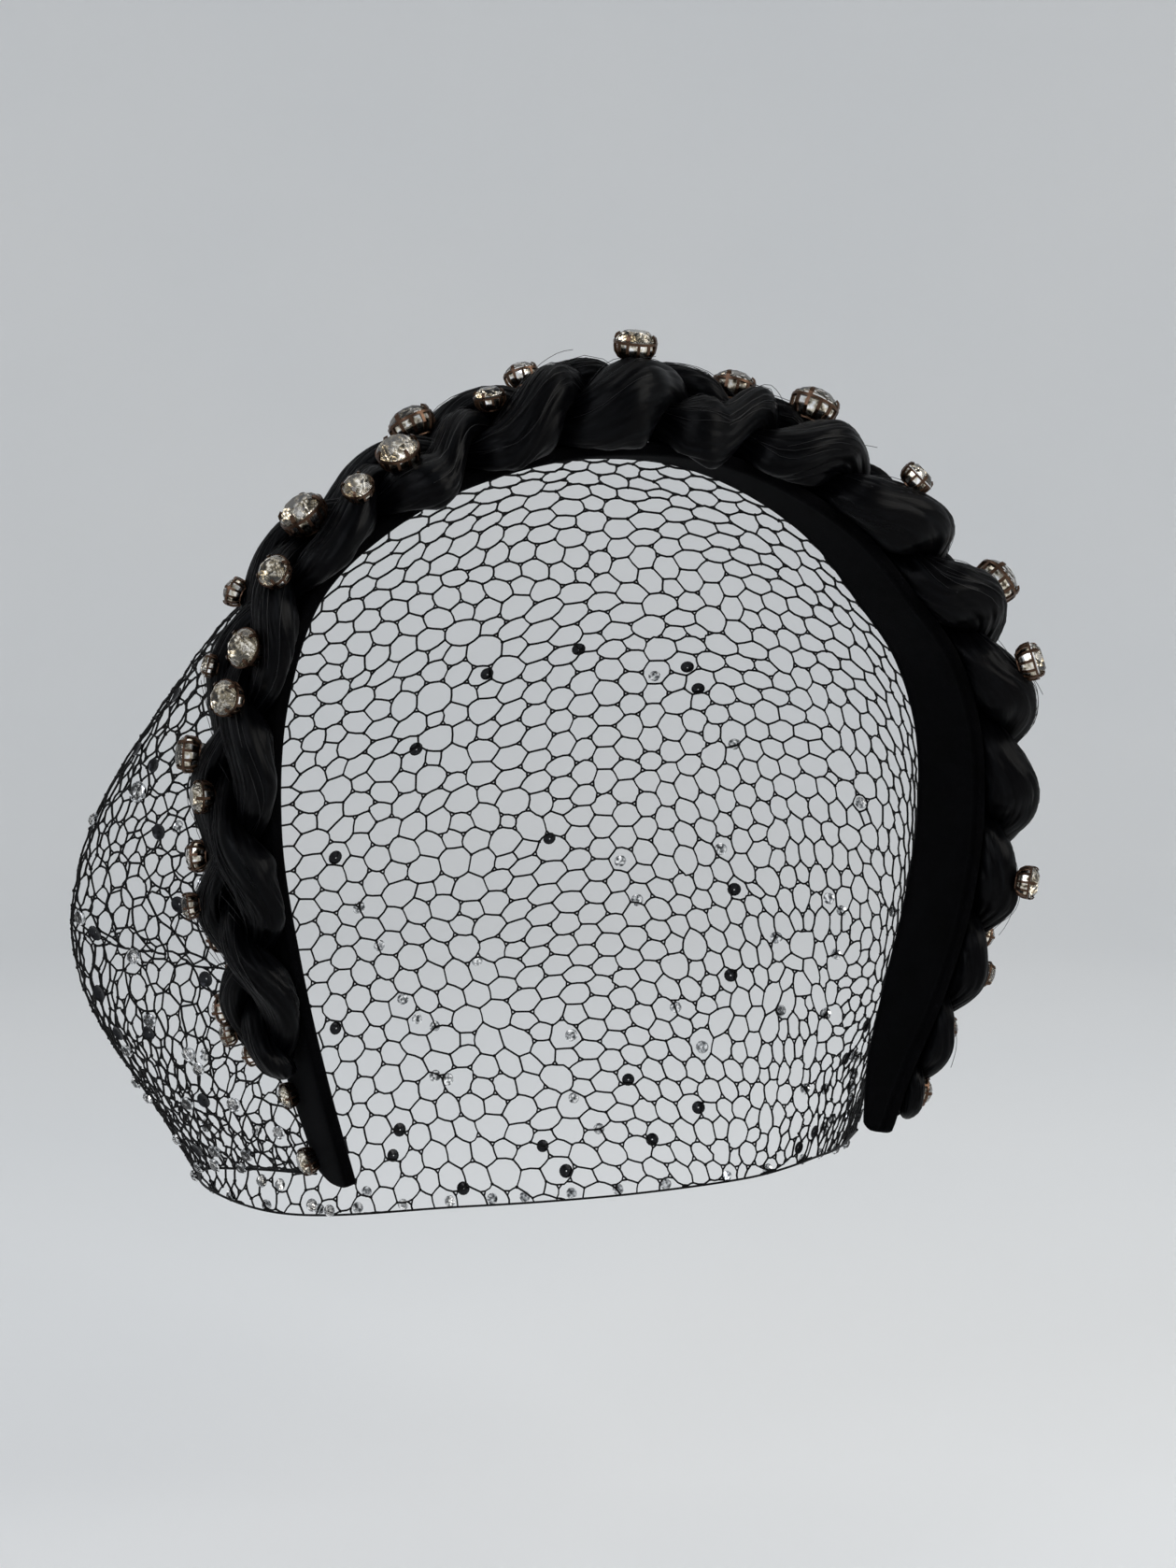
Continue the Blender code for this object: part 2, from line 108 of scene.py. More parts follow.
# Every turn of a strand at the near rim. Columns: along, lift, swell.
TURN_ROWS = (
    (20.0, 0.0, 1.00),
    (42.5, 0.0, 1.00),
    (62.5, 0.0, 1.00),
    (86.0, 0.0, 1.06),
    (108.0, 0.0, 1.00),
    (130.0, -1.0, 1.04),
    (150.5, -3.5, 1.00),
    (170.5, 0.0, 1.04),
    (192.0, 3.0, 1.16),
    (210.0, -5.5, 1.00),
    (230.0, 0.0, 1.04),
    (252.0, 1.0, 1.06),
    (275.0, 1.5, 1.06),
    (292.5, 0.0, 1.00),
    (312.0, 0.0, 1.04),
    (331.5, 0.0, 1.00),
    (350.5, 0.0, 1.00),
    (368.0, 0.0, 1.00),
    (385.0, 0.0, 1.00),
    (402.0, 0.0, 1.00),
)

VEIL_START = 6.0
VEIL_END = 388.0
VEIL_EDGE_GAP = 1.9
HEM_CENTRE_SIDE = 3.0
HEM_HALF_WIDTH = 63.0
HEM_FLARE = 25.0
HEM_DEPTH = 84.0

# Columns: across, forward and bulge at the band, rise and swell at the hem, height of the hem
SWELL_ROWS = (
    (0.00, 2.0, 0.0, 2.0, 0.0, -147.5),
    (0.07, 30.0, 24.0, 22.0, 18.0, -150.0),
    (0.15, 46.0, 45.0, 40.0, 30.0, -154.0),
    (0.20, 46.0, 41.0, 50.0, 30.0, -158.5),
    (0.25, 48.0, 25.0, 58.0, 28.0, -164.0),
    (0.36, 56.0, 4.0, 62.0, 20.0, -176.0),
    (0.50, 60.0, 4.0, 62.0, 20.0, -181.0),
    (0.64, 56.0, 6.0, 62.0, 20.0, -181.0),
    (0.75, 50.0, 16.0, 56.0, 22.0, -176.0),
    (0.85, 40.0, 26.0, 42.0, 22.0, -167.0),
    (0.93, 24.0, 18.0, 22.0, 12.0, -159.0),
    (1.00, 2.0, 0.0, 2.0, 0.0, -149.0),
)

# The velvet strip
VELVET_RING_SPACING = 1.5
VELVET_SIDES = 48
VELVET_ROUNDNESS = 5.0
LINING_INSET = 1.6
LINING_STEP = 0.22
LINING_SLOPE = 0.4
LINING_START = 0.8
VELVET_END_LENGTH = 1.6

# The hair: how finely a strand is made, and its locks
HAIR_RING_SPACING = 1.15
HAIR_SIDES = 160
HAIR_OVERLAP = 0.5
HAIR_UNEVEN = 0.025
HAIR_BAND_GAP = 0.2
HAIR_RIM_GAP = 0.4
HAIR_BED = 1.4
HAIR_ROUNDING = 7
HAIR_EASING = 3
HAIR_END_LENGTH = 5.0
LOCK_WIDTH = 2.3
LOCK_DEPTH = 0.55
WISP_WIDTH = 0.85
WISP_DEPTH = 0.2
LOCK_DRIFT_LENGTH = 60.0
# Turns in 60 mm, and how far a bundle swings, in bundles, for locks and for wisps
LOCK_SWING = (1.5, 0.55)
WISP_SWING = (4.0, 0.8)
SWING_LENGTHS = (60.0, 83.0, 106.0)
FINE_SWING_LENGTH = 31.0
BUNDLE_ROUNDNESS = 0.6
BUNDLE_SINK = 0.45
SINK_LENGTH = 52.0
SINK_TURN = 2.399
# A strand isn't quite even. Columns: swings round it, length of a swing, size.
UNEVEN_ROWS = ((2.0, 43.0, 1.0), (1.0, 17.0, 1.0), (3.0, -9.5, 0.6))
FIBRE_STRETCH = 0.06
# Grooves are full from this radius up, and a strand keeps this share of its reach
FULL_RELIEF_RADIUS = 4.0
LEAST_RELIEF = 0.15
LEAST_REACH = 0.4

# Loose hairs over the plait
LOOSE_HAIRS = 90
LOOSE_HAIR_THICKNESS = 0.15
LOOSE_HAIR_POINTS = 16
LOOSE_HAIR_SIDES = 3
STRAY_SHARE = 0.18
STRAY_LENGTHS = (10.0, 26.0)
LYING_LENGTHS = (14.0, 42.0)
STRAY_LIFTS = (1.5, 5.0)
LYING_LIFTS = (0.12, 0.7)
LYING_HEIGHT = 0.05
HAIR_END_ROOM = (6.0, 8.0)
# Shares of a turn round the strand
HAIR_DRIFT = 0.05
HAIR_WAVE = 0.012

# The net: width of a cell, thread, and how evenly it is knotted
CELL_WIDTH = 6.6
CELL_JITTER = 0.72
# Gauge of a thread: thickness and sides
THREAD_GAUGE = (0.5, 4)
HEM_GAUGE = (0.55, 10)
GATHER_GAUGE = (0.8, 8)
LONGEST_THREAD = 9.8
KNOT_RADIUS = 0.42
KNOT_UNEVEN = (0.85, 1.2)
LOOP_SHARE = 0.42
LOOP_REACH = 0.78
THREAD_BOW = 0.13
NET_TUCK = 2.3
# The crease over the swell: the net is drawn in and gathered along this line of (across, down)
CREASE_PATH = ((0.090, 0.02), (0.124, 0.29), (0.163, 0.435))
CREASE_DEPTH = 2.6
CREASE_GATHER = 0.85
CREASE_REACH = 8.5
CREASE_POINTS = 12
CREASE_SIDE = 0.3
CLOTH_STEP = 0.5
HEM_POINTS = 260
NORMAL_STEP = 0.002
VEIL_MIDDLE = (3.0, 0.0, -90.0)
CELL_REACH = 1.3

# Camera, as the photo was taken
PHOTO_WIDTH = 1259.0
PHOTO_HEIGHT = 1678.0
SENSOR = 36.0
LENS = 56.64
CAMERA_AZIMUTH = -24.0
CAMERA_ELEVATION = 5.0
CAMERA_DISTANCE = 0.515
CAMERA_TARGET = (-0.004, 0.0, -0.0675)

# Stones and sequins of the net that the photo shows. Columns: pixel x, pixel y, width in mm.
NET_STONE_ROWS = (
    (151, 848, 4.6),
    (103, 878, 3.2),
    (88, 981, 3.4),
    (145, 1023, 3.4),
    (162, 1091, 3.2),
    (138, 1123, 3.0),
    (148, 1157, 3.0),
    (157, 1177, 3.0),
    (204, 1127, 3.4),
    (214, 1143, 3.0),
    (203, 1179, 3.4),
    (252, 1181, 3.4),
    (192, 1218, 3.0),
    (232, 1230, 3.2),
    (266, 1234, 3.2),
    (300, 1211, 3.0),
    (232, 1244, 3.0),
    (278, 1264, 3.2),
    (298, 1268, 3.0),
    (332, 1290, 3.2),
    (351, 1296, 3.0),
)
SEQUIN_ROWS = (
    (192, 745, 3.4),
    (150, 803, 3.2),
    (167, 820, 3.0),
    (172, 890, 3.4),
    (193, 967, 3.6),
    (104, 997, 3.6),
    (109, 1061, 3.6),
    (222, 1047, 3.4),
    (129, 1104, 3.4),
    (161, 1104, 3.2),
    (220, 1176, 3.4),
    (214, 1228, 3.4),
)
EXTRA_NET_STONES = 46
EXTRA_STONE_WIDTHS = (2.8, 3.4)
NET_STONE_RISE = 0.1
EXTRA_SEQUINS = 26
EXTRA_SEQUIN_WIDTHS = (3.2, 3.6)
SEQUIN_RISE = 0.25
HEM_STONE_SPACING = 12.0
HEM_STONE_WIDTH = 2.9

# Pixel in the middle of the net, and the steps by which a stray seat is moved towards it
NET_MIDDLE = (330.0, 1000.0)
INWARD_STEPS = 30
INWARD_STEP = 0.004
NET_FACES = (180, 80)
HEM_STONE_DOWN = 0.992
HEM_STONE_ACROSS = (0.05, 0.97)
HEM_STONE_START = 4.0
HEM_STONE_UNEVEN = 2.5
HEM_STEPS = 400
# Shares of the net that the photo doesn't show, and how its stones crowd towards the hem
UNSEEN_ACROSS = (0.30, 0.97)
UNSEEN_DOWN = (0.12, 0.97)
UNSEEN_CROWDING = 0.6

FLOOR_HEIGHT = -0.262
SKY = ("#E9EDF0", 0.40)
SEED = 5604
# The floor and wall as they run outwards, in metres
BOWL_REACH = 1.1
BOWL_BEND = 0.9
BOWL_BEND_STEPS = 8
BOWL_SIDES = 64
WALL_HEIGHT = 2.4
# Columns: name, place, size, power, colour
LIGHT_ROWS = (
    ("window_key", (0.85, -0.9, 0.75), (1.0, 1.0), 14.0, "#FFFCF6"),
    ("window_fill", (-1.1, -0.6, 0.6), (0.8, 0.9), 6.0, "#F2F6FF"),
    ("top_softbox", (0.1, 0.4, 1.3), (1.2, 0.9), 3.0, "#FFFFFF"),
)


def smooth_rows(keys, values, at):
    """Reads a smooth curve through table rows: a cubic through each pair of neighbours."""
    keys = np.asarray(keys, float)
    values = np.asarray(values, float)
    at = np.clip(np.asarray(at, float), keys[0], keys[-1])
    slopes = np.gradient(values, keys, axis=0)
    row = np.clip(np.searchsorted(keys, at, side="right") - 1, 0, len(keys) - 2)
    span = keys[row + 1] - keys[row]
    t = (at - keys[row]) / span
    shape = (len(at),) + (1,) * (values.ndim - 1)
    t = t.reshape(shape)
    span = span.reshape(shape)
    return (
        (2 * t**3 - 3 * t**2 + 1) * values[row]
        + (t**3 - 2 * t**2 + t) * span * slopes[row]
        + (3 * t**2 - 2 * t**3) * values[row + 1]
        + (t**3 - t**2) * span * slopes[row + 1]
    )


def run_along(points, unit=1.0):
    """Distance along a line of points in a unit, from 0 at the first point."""
    steps = np.linalg.norm(np.diff(points, axis=0), axis=1) / unit
    return np.concatenate(([0.0], np.cumsum(steps)))


class Arch:
    """The band's inner face as a curve of arc length, with its outward direction."""

    def __init__(self, rows, samples=2000):
        rows = np.array(rows)
        steps = np.hypot(*np.diff(rows[:, :2], axis=0).T)
        keys = np.concatenate(([0.0], np.cumsum(steps)))
        fine = np.linspace(0.0, keys[-1], samples)
        self.points = smooth_rows(keys, rows, fine)
        lengths = np.hypot(*np.diff(self.points[:, :2], axis=0).T)
        self.along = np.concatenate(([0.0], np.cumsum(lengths)))
        self.length = self.along[-1]

    def at(self, along):
        return np.stack([np.interp(along, self.along, column) for column in self.points.T], -1)

    def outward(self, along):
        before = self.at(np.clip(along - SLOPE_REACH, 0, self.length))[:, :2]
        after = self.at(np.clip(along + SLOPE_REACH, 0, self.length))[:, :2]
        step = after - before
        step /= np.linalg.norm(step, axis=1)[:, None]
        return np.stack([-step[:, 1], step[:, 0]], -1)

    def place(self, along, across, up):
        """Points in space from arc length, distance across (Y) and height above the band."""
        spot = self.at(along)
        out = self.outward(along)
        side = spot[:, 0, None] + out[:, 0, None] * up
        height = spot[:, 1, None] + out[:, 1, None] * up
        return np.stack([side, across + np.zeros_like(up), height], -1) * MM


ARCH = Arch(BAND_ROWS)


# Nodes and materials

def add(tree, kind, inputs, **settings):
    """Adds a node, sets it, and gives each of its inputs a value or a link."""
    node = tree.nodes.new(kind)
    for name, value in settings.items():
        setattr(node, name, value)
    for key, value in inputs.items():
        if isinstance(value, bpy.types.NodeSocket):
            tree.links.new(value, node.inputs[key])
        else:
            node.inputs[key].default_value = value
    return node


def colour(code):
    """Linear colour from an sRGB hex code."""
    parts = [int(code[i : i + 2], 16) / 255.0 for i in (1, 3, 5)]
    linear = [c / 12.92 if c <= 0.04045 else ((c + 0.055) / 1.055) ** 2.4 for c in parts]
    return (*linear, 1.0)


def new_finish(name, **values):
    """A material with its shader's own values set. Returns it and its nodes."""
    made = bpy.data.materials.new(name)
    made.use_nodes = True
    tree = made.node_tree
    shader = tree.nodes["Principled BSDF"]
    for label, value in values.items():
        shader.inputs[label.replace("_", " ")].default_value = value
    return made, tree


def grain(tree, size_mm, place=None, detail=2.0, fineness=0.5, shades=(), worn=None,
          gloss=(), relief=()):
    """Mottling with features about size_mm across. It may shade the base colour by stops of
    (position, colour code), shifted where worn is high, run the roughness from one number to
    another, and raise the surface by (depth in mm, strength) over any relief already there."""
    shader = tree.nodes["Principled BSDF"]
    if place is None:
        place = add(tree, "ShaderNodeTexCoord", {}).outputs["Object"]
    speckle = {"Vector": place, "Scale": 1.0 / (size_mm * MM), "Detail": detail}
    speckle["Roughness"] = fineness
    pattern = add(tree, "ShaderNodeTexNoise", speckle).outputs["Fac"]
    if shades:
        factor = pattern
        if worn is not None:
            shifted = add(tree, "ShaderNodeMath", {0: worn, 1: pattern}, operation="ADD")
            factor = shifted.outputs["Value"]
        ramp = add(tree, "ShaderNodeValToRGB", {"Fac": factor})
        stops = ramp.color_ramp.elements
        for position, code in shades[1:-1]:
            stops.new(position).color = colour(code)
        for stop, (position, code) in ((stops[0], shades[0]), (stops[-1], shades[-1])):
            stop.position = position
            stop.color = colour(code)
        tree.links.new(ramp.outputs["Color"], shader.inputs["Base Color"])
    if gloss:
        run = {"From Min": 0.3, "From Max": 0.7, "To Min": gloss[0], "To Max": gloss[1]}
        rough = add(tree, "ShaderNodeMapRange", {"Value": pattern, **run})
        tree.links.new(rough.outputs["Result"], shader.inputs["Roughness"])
    if relief:
        raised = {"Height": pattern, "Distance": relief[0] * MM, "Strength": relief[1]}
        for link in shader.inputs["Normal"].links:
            raised["Normal"] = link.from_socket
        bump = add(tree, "ShaderNodeBump", raised)
        tree.links.new(bump.outputs["Normal"], shader.inputs["Normal"])


def velvet_finish():
    """Short-pile black velvet: no shine face on, a soft grey bloom at grazing angles, and
    brushed patches where the pile leans."""
    made, tree = new_finish(
        "black_velvet_short_pile",
        Roughness=0.92,
        Sheen_Weight=0.025,
        Sheen_Roughness=0.42,
        Sheen_Tint=colour("#7C8087"),
        Specular_IOR_Level=0.03,
    )
    brushed = ((0.3, "#010101"), (0.55, "#020203"), (0.8, "#050506"))
    grain(tree, 9.0, detail=3.0, shades=brushed)
    grain(tree, 0.25, relief=(0.25, 0.7))
    return made


def hair_finish():
    """Black synthetic hair, combed and glossy: fine streaks along the fibres, and a highlight
    that spreads across them."""
    made, tree = new_finish(
        "black_synthetic_hair_glossy", Anisotropic=0.75, Specular_IOR_Level=0.05
    )
    fibre = add(tree, "ShaderNodeAttribute", {}, attribute_name="fibre").outputs["Vector"]
    wisps = ((0.3, "#010102"), (0.5, "#030304"), (0.72, "#090A0C"))
    grain(tree, 3.5, fibre, gloss=(0.24, 0.42))
    grain(tree, 0.9, fibre, shades=wisps, relief=(0.20, 0.6))
    # Single fibres are 0.08 mm; the finest streaks are drawn 0.3 mm wide so that they show
    grain(tree, 0.30, fibre, detail=3.0, fineness=0.6, relief=(0.09, 0.8))
    along = add(tree, "ShaderNodeTangent", {}, direction_type="UV_MAP", uv_map="combed")
    shader = tree.nodes["Principled BSDF"]
    tree.links.new(along.outputs["Tangent"], shader.inputs["Tangent"])
    return made


def loose_hair_finish():
    """Single black synthetic hairs: smooth fibre with a soft shine."""
    made, tree = new_finish(
        "black_synthetic_hair_single", Roughness=0.38, Specular_IOR_Level=0.3
    )
    grain(tree, 4.0, shades=((0.3, "#020203"), (0.7, "#0B0C0E")))
    return made


def brass_finish():
    """Antique brass of stamped claw cups: dark brown, a little lighter on the rubbed edges."""
    made, tree = new_finish("antique_brass_stamped", Metallic=1.0)
    edge = add(tree, "ShaderNodeNewGeometry", {}).outputs["Pointiness"]
    run = {"From Min": 0.46, "From Max": 0.58, "To Min": 0.0, "To Max": 0.55}
    rubbed = add(tree, "ShaderNodeMapRange", {"Value": edge, **run}).outputs["Result"]
    browns = ((0.3, "#0C0706"), (0.6, "#22150F"), (0.95, "#503D31"))
    grain(tree, 1.6, detail=4.0, fineness=0.6, shades=browns, worn=rubbed, gloss=(0.22, 0.48))
    grain(tree, 0.3, relief=(0.02, 0.5))
    return made


def crystal_finish():
    """Clear lead glass, machine cut and polished."""
    made, tree = new_finish(
        "clear_lead_glass_cut", Transmission_Weight=1.0, IOR=1.56, Roughness=0.015
    )
    grain(tree, 3.0, shades=((0.3, "#FFFFFF"), (0.7, "#F6F1EA")))
    return made


def foil_finish(name, painted_reflection_codes, patch_mm):
    """Thin bright metal behind or around the cut glass: a mirror with slight waves, mottled in
    patches from near black to white. The mottling is painted dark and bright reflection for the
    facets in front of it."""
    made, tree = new_finish(name, Metallic=1.0, Roughness=0.14)
    # Painted reflection: the colour runs in patches from near black to white so that the facets show
    # dark and bright.
    grain(tree, patch_mm, shades=tuple(zip((0.36, 0.5, 0.64), painted_reflection_codes)), relief=(0.03, 0.5))
    return made


def thread_finish():
    """Black nylon net thread: matt, slightly fuzzy, with a faint twist."""
    made, tree = new_finish("black_nylon_thread", Specular_IOR_Level=0.12, Sheen_Weight=0.02)
    fuzz = ((0.3, "#040405"), (0.7, "#0B0B0C"))
    grain(tree, 0.5, detail=3.0, shades=fuzz, gloss=(0.5, 0.72), relief=(0.08, 0.8))
    return made


def sequin_finish():
    """Dark hematite sequin: pressed film with a smoky mirror shine."""
    made, tree = new_finish("hematite_film_pressed", Metallic=0.85, Roughness=0.22)
    grain(tree, 1.2, shades=((0.3, "#121214"), (0.7, "#26272A")))
    return made


def wall_finish():
    """Matt painted board for the studio floor and background."""
    made, tree = new_finish("pale_grey_studio_board", Roughness=0.95, Specular_IOR_Level=0.1)
    grain(tree, 400.0, shades=((0.3, "#E7E9EB"), (0.7, "#EBECED")))
    return made


# Meshes

def new_object(name, mesh):
    made = bpy.data.objects.new(name, mesh)
    bpy.context.scene.collection.objects.link(made)
    return made


def mesh_from(name, points, faces, edges=()):
    mesh = bpy.data.meshes.new(name)
    mesh.from_pydata(np.asarray(points).tolist(), list(edges), faces)
    return mesh


def attribute(mesh, name, kind, domain, values):
    made = mesh.attributes.new(name, kind, domain)
    field = "vector" if kind == "FLOAT_VECTOR" else "value"
    made.data.foreach_set(field, np.asarray(values).ravel())


def tube_faces(points, count, sides):
    """Faces of a closed tube whose points are rings in order, then a pole at each end. Turned
    round where needed so that they face outwards. Returns the faces and the column of each
    corner, for a map round the tube."""
    ring = np.arange(count - 1)[:, None] * sides
    here = np.arange(sides)
    after = (here + 1) % sides
    quads = np.stack(
        np.broadcast_arrays(ring + here, ring + after, ring + sides + after, ring + sides + here),
        -1,
    ).reshape(-1, 4)
    columns = np.stack([here, here + 1, here + 1, here], -1)
    columns = np.broadcast_to(columns, (count - 1, sides, 4)).reshape(-1, 4)
    first, last = count * sides, count * sides + 1
    end = (count - 1) * sides
    start_cap = np.stack([np.full(sides, first), after, here], -1)
    end_cap = np.stack([np.full(sides, last), end + here, end + after], -1)
    start_columns = np.stack([here + 0.5, here + 1, here], -1)
    end_columns = np.stack([here + 0.5, here, here + 1], -1)
    a, b, c, d = (points[quads[:, i]] for i in range(4))
    volume = np.sum(np.cross(c - a, d - b) * (a + b + c + d))
    faces = quads.tolist() + start_cap.tolist() + end_cap.tolist()
    corners = columns.tolist() + start_columns.tolist() + end_columns.tolist()
    if volume < 0:
        faces = [face[::-1] for face in faces]
        corners = [corner[::-1] for corner in corners]
    return faces, corners


def closed_tube(name, rings, finish):
    """One smooth closed body from rings of points. Returns it with the corners' columns."""
    count, sides = rings.shape[:2]
    poles = [rings[0].mean(axis=0), rings[-1].mean(axis=0)]
    points = np.concatenate([rings.reshape(-1, 3), poles])
    faces, corners = tube_faces(points, count, sides)
    mesh = mesh_from(name, points, faces)
    mesh.shade_smooth()
    mesh.materials.append(finish)
    return new_object(name, mesh), corners


def closing(along, start, end, length):
    """1 along a tube, falling to almost nothing at its two ends as a quarter circle does."""
    left = np.clip(np.minimum(along - start, end - along) / length, 0.0, 1.0)
    return np.sqrt(np.maximum(1.0 - (1.0 - left) ** 2, 0.0025))


def end_stations(start, end, spacing, length, extra=5):
    """Stations along a tube, closer together where it closes at each end."""
    body = np.arange(start + length, end - length, spacing)
    bend = length * (1.0 - np.cos(np.linspace(0.0, 0.5 * math.pi, extra, endpoint=False)))
    return np.concatenate([start + bend, body, (end - bend)[::-1]])


def make_velvet(finish):
    """The band: a padded strip with rounded rims, and the turned-in edge of its lining as a
    low step inside each rim."""
    along = end_stations(0.0, ARCH.length, VELVET_RING_SPACING, VELVET_END_LENGTH)
    half = ARCH.at(along)[:, 2, None] * closing(along, 0.0, ARCH.length, VELVET_END_LENGTH)[:, None]
    angle = (np.arange(VELVET_SIDES) + 0.5) * TURN / VELVET_SIDES
    power = 2.0 / VELVET_ROUNDNESS
    wide = np.sign(np.cos(angle)) * np.abs(np.cos(angle)) ** power
    high = np.sign(np.sin(angle)) * np.abs(np.sin(angle)) ** power
    # Even columns over the flat faces
    share = 0.5 * wide + 0.5 * np.cos(angle)
    across = half * share
    thick = 0.5 * BAND_THICKNESS
    full = (1.0 - np.abs(share) ** VELVET_ROUNDNESS) ** (1.0 / VELVET_ROUNDNESS)
    up = thick + thick * np.sign(high) * full
    edge = half - np.abs(across)
    step = LINING_STEP * (1.0 - np.clip((edge - LINING_INSET) / LINING_SLOPE, 0.0, 1.0))
    inner = np.sin(angle) < 0
    up = np.where(inner, up + (LINING_STEP - step) * (edge > LINING_START), up)
    return closed_tube("velvet_band", ARCH.place(along, across, up), finish)[0]


# The plait

def plait_centres(along):
    """Centre (across, up) and half sizes of each of the three strands at each arc length."""
    rows = np.array(PLAIT_ROWS)
    height, reach, width, drop = smooth_rows(rows[:, 0], rows[:, 1:], along).T
    turns = np.array(TURN_ROWS)
    number = smooth_rows(turns[:, 0], np.arange(len(turns)), along)
    lift, swell = smooth_rows(turns[:, 0], turns[:, 1:], along).T
    ends = np.minimum(along - PLAIT_START, PLAIT_END - along) / END_TAPER
    ends = np.sin(0.5 * math.pi * np.clip(ends, 0.0, 1.0))
    reach = reach * (END_REACH + (1.0 - END_REACH) * ends)
    full = END_FULLNESS + (1.0 - END_FULLNESS) * ends
    middle = BAND_THICKNESS + BAND_GAP + MIDDLE_HEIGHT * height * full
    centres = []
    sizes = []
    for strand in range(3):
        angle = TURN / 3.0 * (number + strand)
        near = np.clip(np.cos(angle), 0.0, 1.0) ** 2
        across = -reach * np.cos(angle)
        rise = (CROSSING_RISE_BASE + CROSSING_RISE * height) * full
        up = middle + rise * np.sin(2.0 * angle) + (lift - drop) * near
        hang = np.maximum(BAND_THICKNESS + BAND_GAP + CENTRE_CLEARANCE - up, 0.0)
        across = across - HANG_OUT * hang * near
        up = up + hang
        centres.append(np.stack([across, up], -1))
        fuller = (1.0 + (swell - 1.0) * near) * full
        deep = STRAND_HALF_HEIGHT * height * fuller + HANG_GROWTH * hang
        sizes.append(np.stack([width * fuller, deep], -1))
    return np.array(centres), np.array(sizes)


def parting_planes(along, strand):
    """Planes that part a strand from the other two, as (normal, offset) for each ring."""
    centres = plait_centres(0.5 * (along[1:] + along[:-1]))[0]
    before = np.maximum(np.arange(len(along)) - 1, 0)
    after = np.minimum(np.arange(len(along)), len(along) - 2)
    planes = []
    for other in range(3):
        if other == strand:
            continue
        apart = centres[other] - centres[strand]
        normal = apart / np.linalg.norm(apart, axis=-1)[:, None]
        halfway = 0.5 * (centres[other] + centres[strand])
        offset = np.sum(normal * halfway, axis=-1) + 0.5 * HAIR_OVERLAP
        planes += [(normal[pick], offset[pick]) for pick in (before, after)]
    return planes


def band_limit(along, start, ray):
    """How far a ray from a strand's centre goes before it comes too near the band."""
    edge = ARCH.at(along)[:, 2][:, None] + HAIR_RIM_GAP
    top = BAND_THICKNESS + HAIR_BAND_GAP
    slant = edge + top - BAND_EDGE_BEVEL
    planes = (((0, 1), top), ((0, -1), HAIR_BAND_GAP), ((1, 0), edge), ((-1, 0), edge),
              ((1, 1), slant), ((-1, 1), slant))
    enter = np.zeros(np.broadcast_shapes(start.shape, ray.shape)[:-1])
    leave = np.full_like(enter, 1e6)
    for normal, offset in planes:
        normal = np.array(normal, float)
        speed = np.sum(ray * normal, axis=-1) + np.zeros_like(enter)
        distance = offset - np.sum(start * normal, axis=-1)
        when = distance / np.where(np.abs(speed) < 1e-9, 1e-9, speed)
        enter = np.where(speed < 0, np.maximum(enter, when), enter)
        leave = np.where(speed > 0, np.minimum(leave, when), leave)
    return np.where((enter < leave) & (enter > 0), enter, 1e6)


def eased(values, reach, axis):
    """Evens out values along one axis. Columns run round the strand, so they wrap."""
    shifts = range(-reach, reach + 1)
    weights = np.array([math.cos(0.5 * math.pi * k / (reach + 1)) for k in shifts])
    weights = weights / weights.sum()
    if axis == 1:
        return sum(np.roll(values, k, axis=1) * w for k, w in zip(shifts, weights))
    padded = np.pad(values, ((reach, reach), (0, 0)), mode="edge")
    count = len(values)
    return sum(padded[reach + k : reach + k + count] * w for k, w in zip(shifts, weights))


def bundles(angle, along, number, drift, wobble, random):
    """Height field of side-by-side bundles that run along a strand, 0 in the grooves and 1 on
    top. They drift round the strand, and some sink between their neighbours."""
    phase = random.uniform(0.0, TURN, 8)
    place = number * angle / TURN + drift * along / LOCK_DRIFT_LENGTH
    for k, length in enumerate(SWING_LENGTHS, 1):
        swing = np.sin(k * angle + TURN * along * k / length + phase[k])
        place = place + wobble / k * swing
    place = place + wobble * np.sin(TURN * along / FINE_SWING_LENGTH + phase[5] + 2.0 * angle)
    round_top = np.abs(np.cos(math.pi * place)) ** BUNDLE_ROUNDNESS
    which = np.floor(place + 0.5)
    sunk = 0.5 + 0.5 * np.sin(which * SINK_TURN + TURN * along / SINK_LENGTH + phase[6])
    return round_top * (1.0 - BUNDLE_SINK + BUNDLE_SINK * sunk)


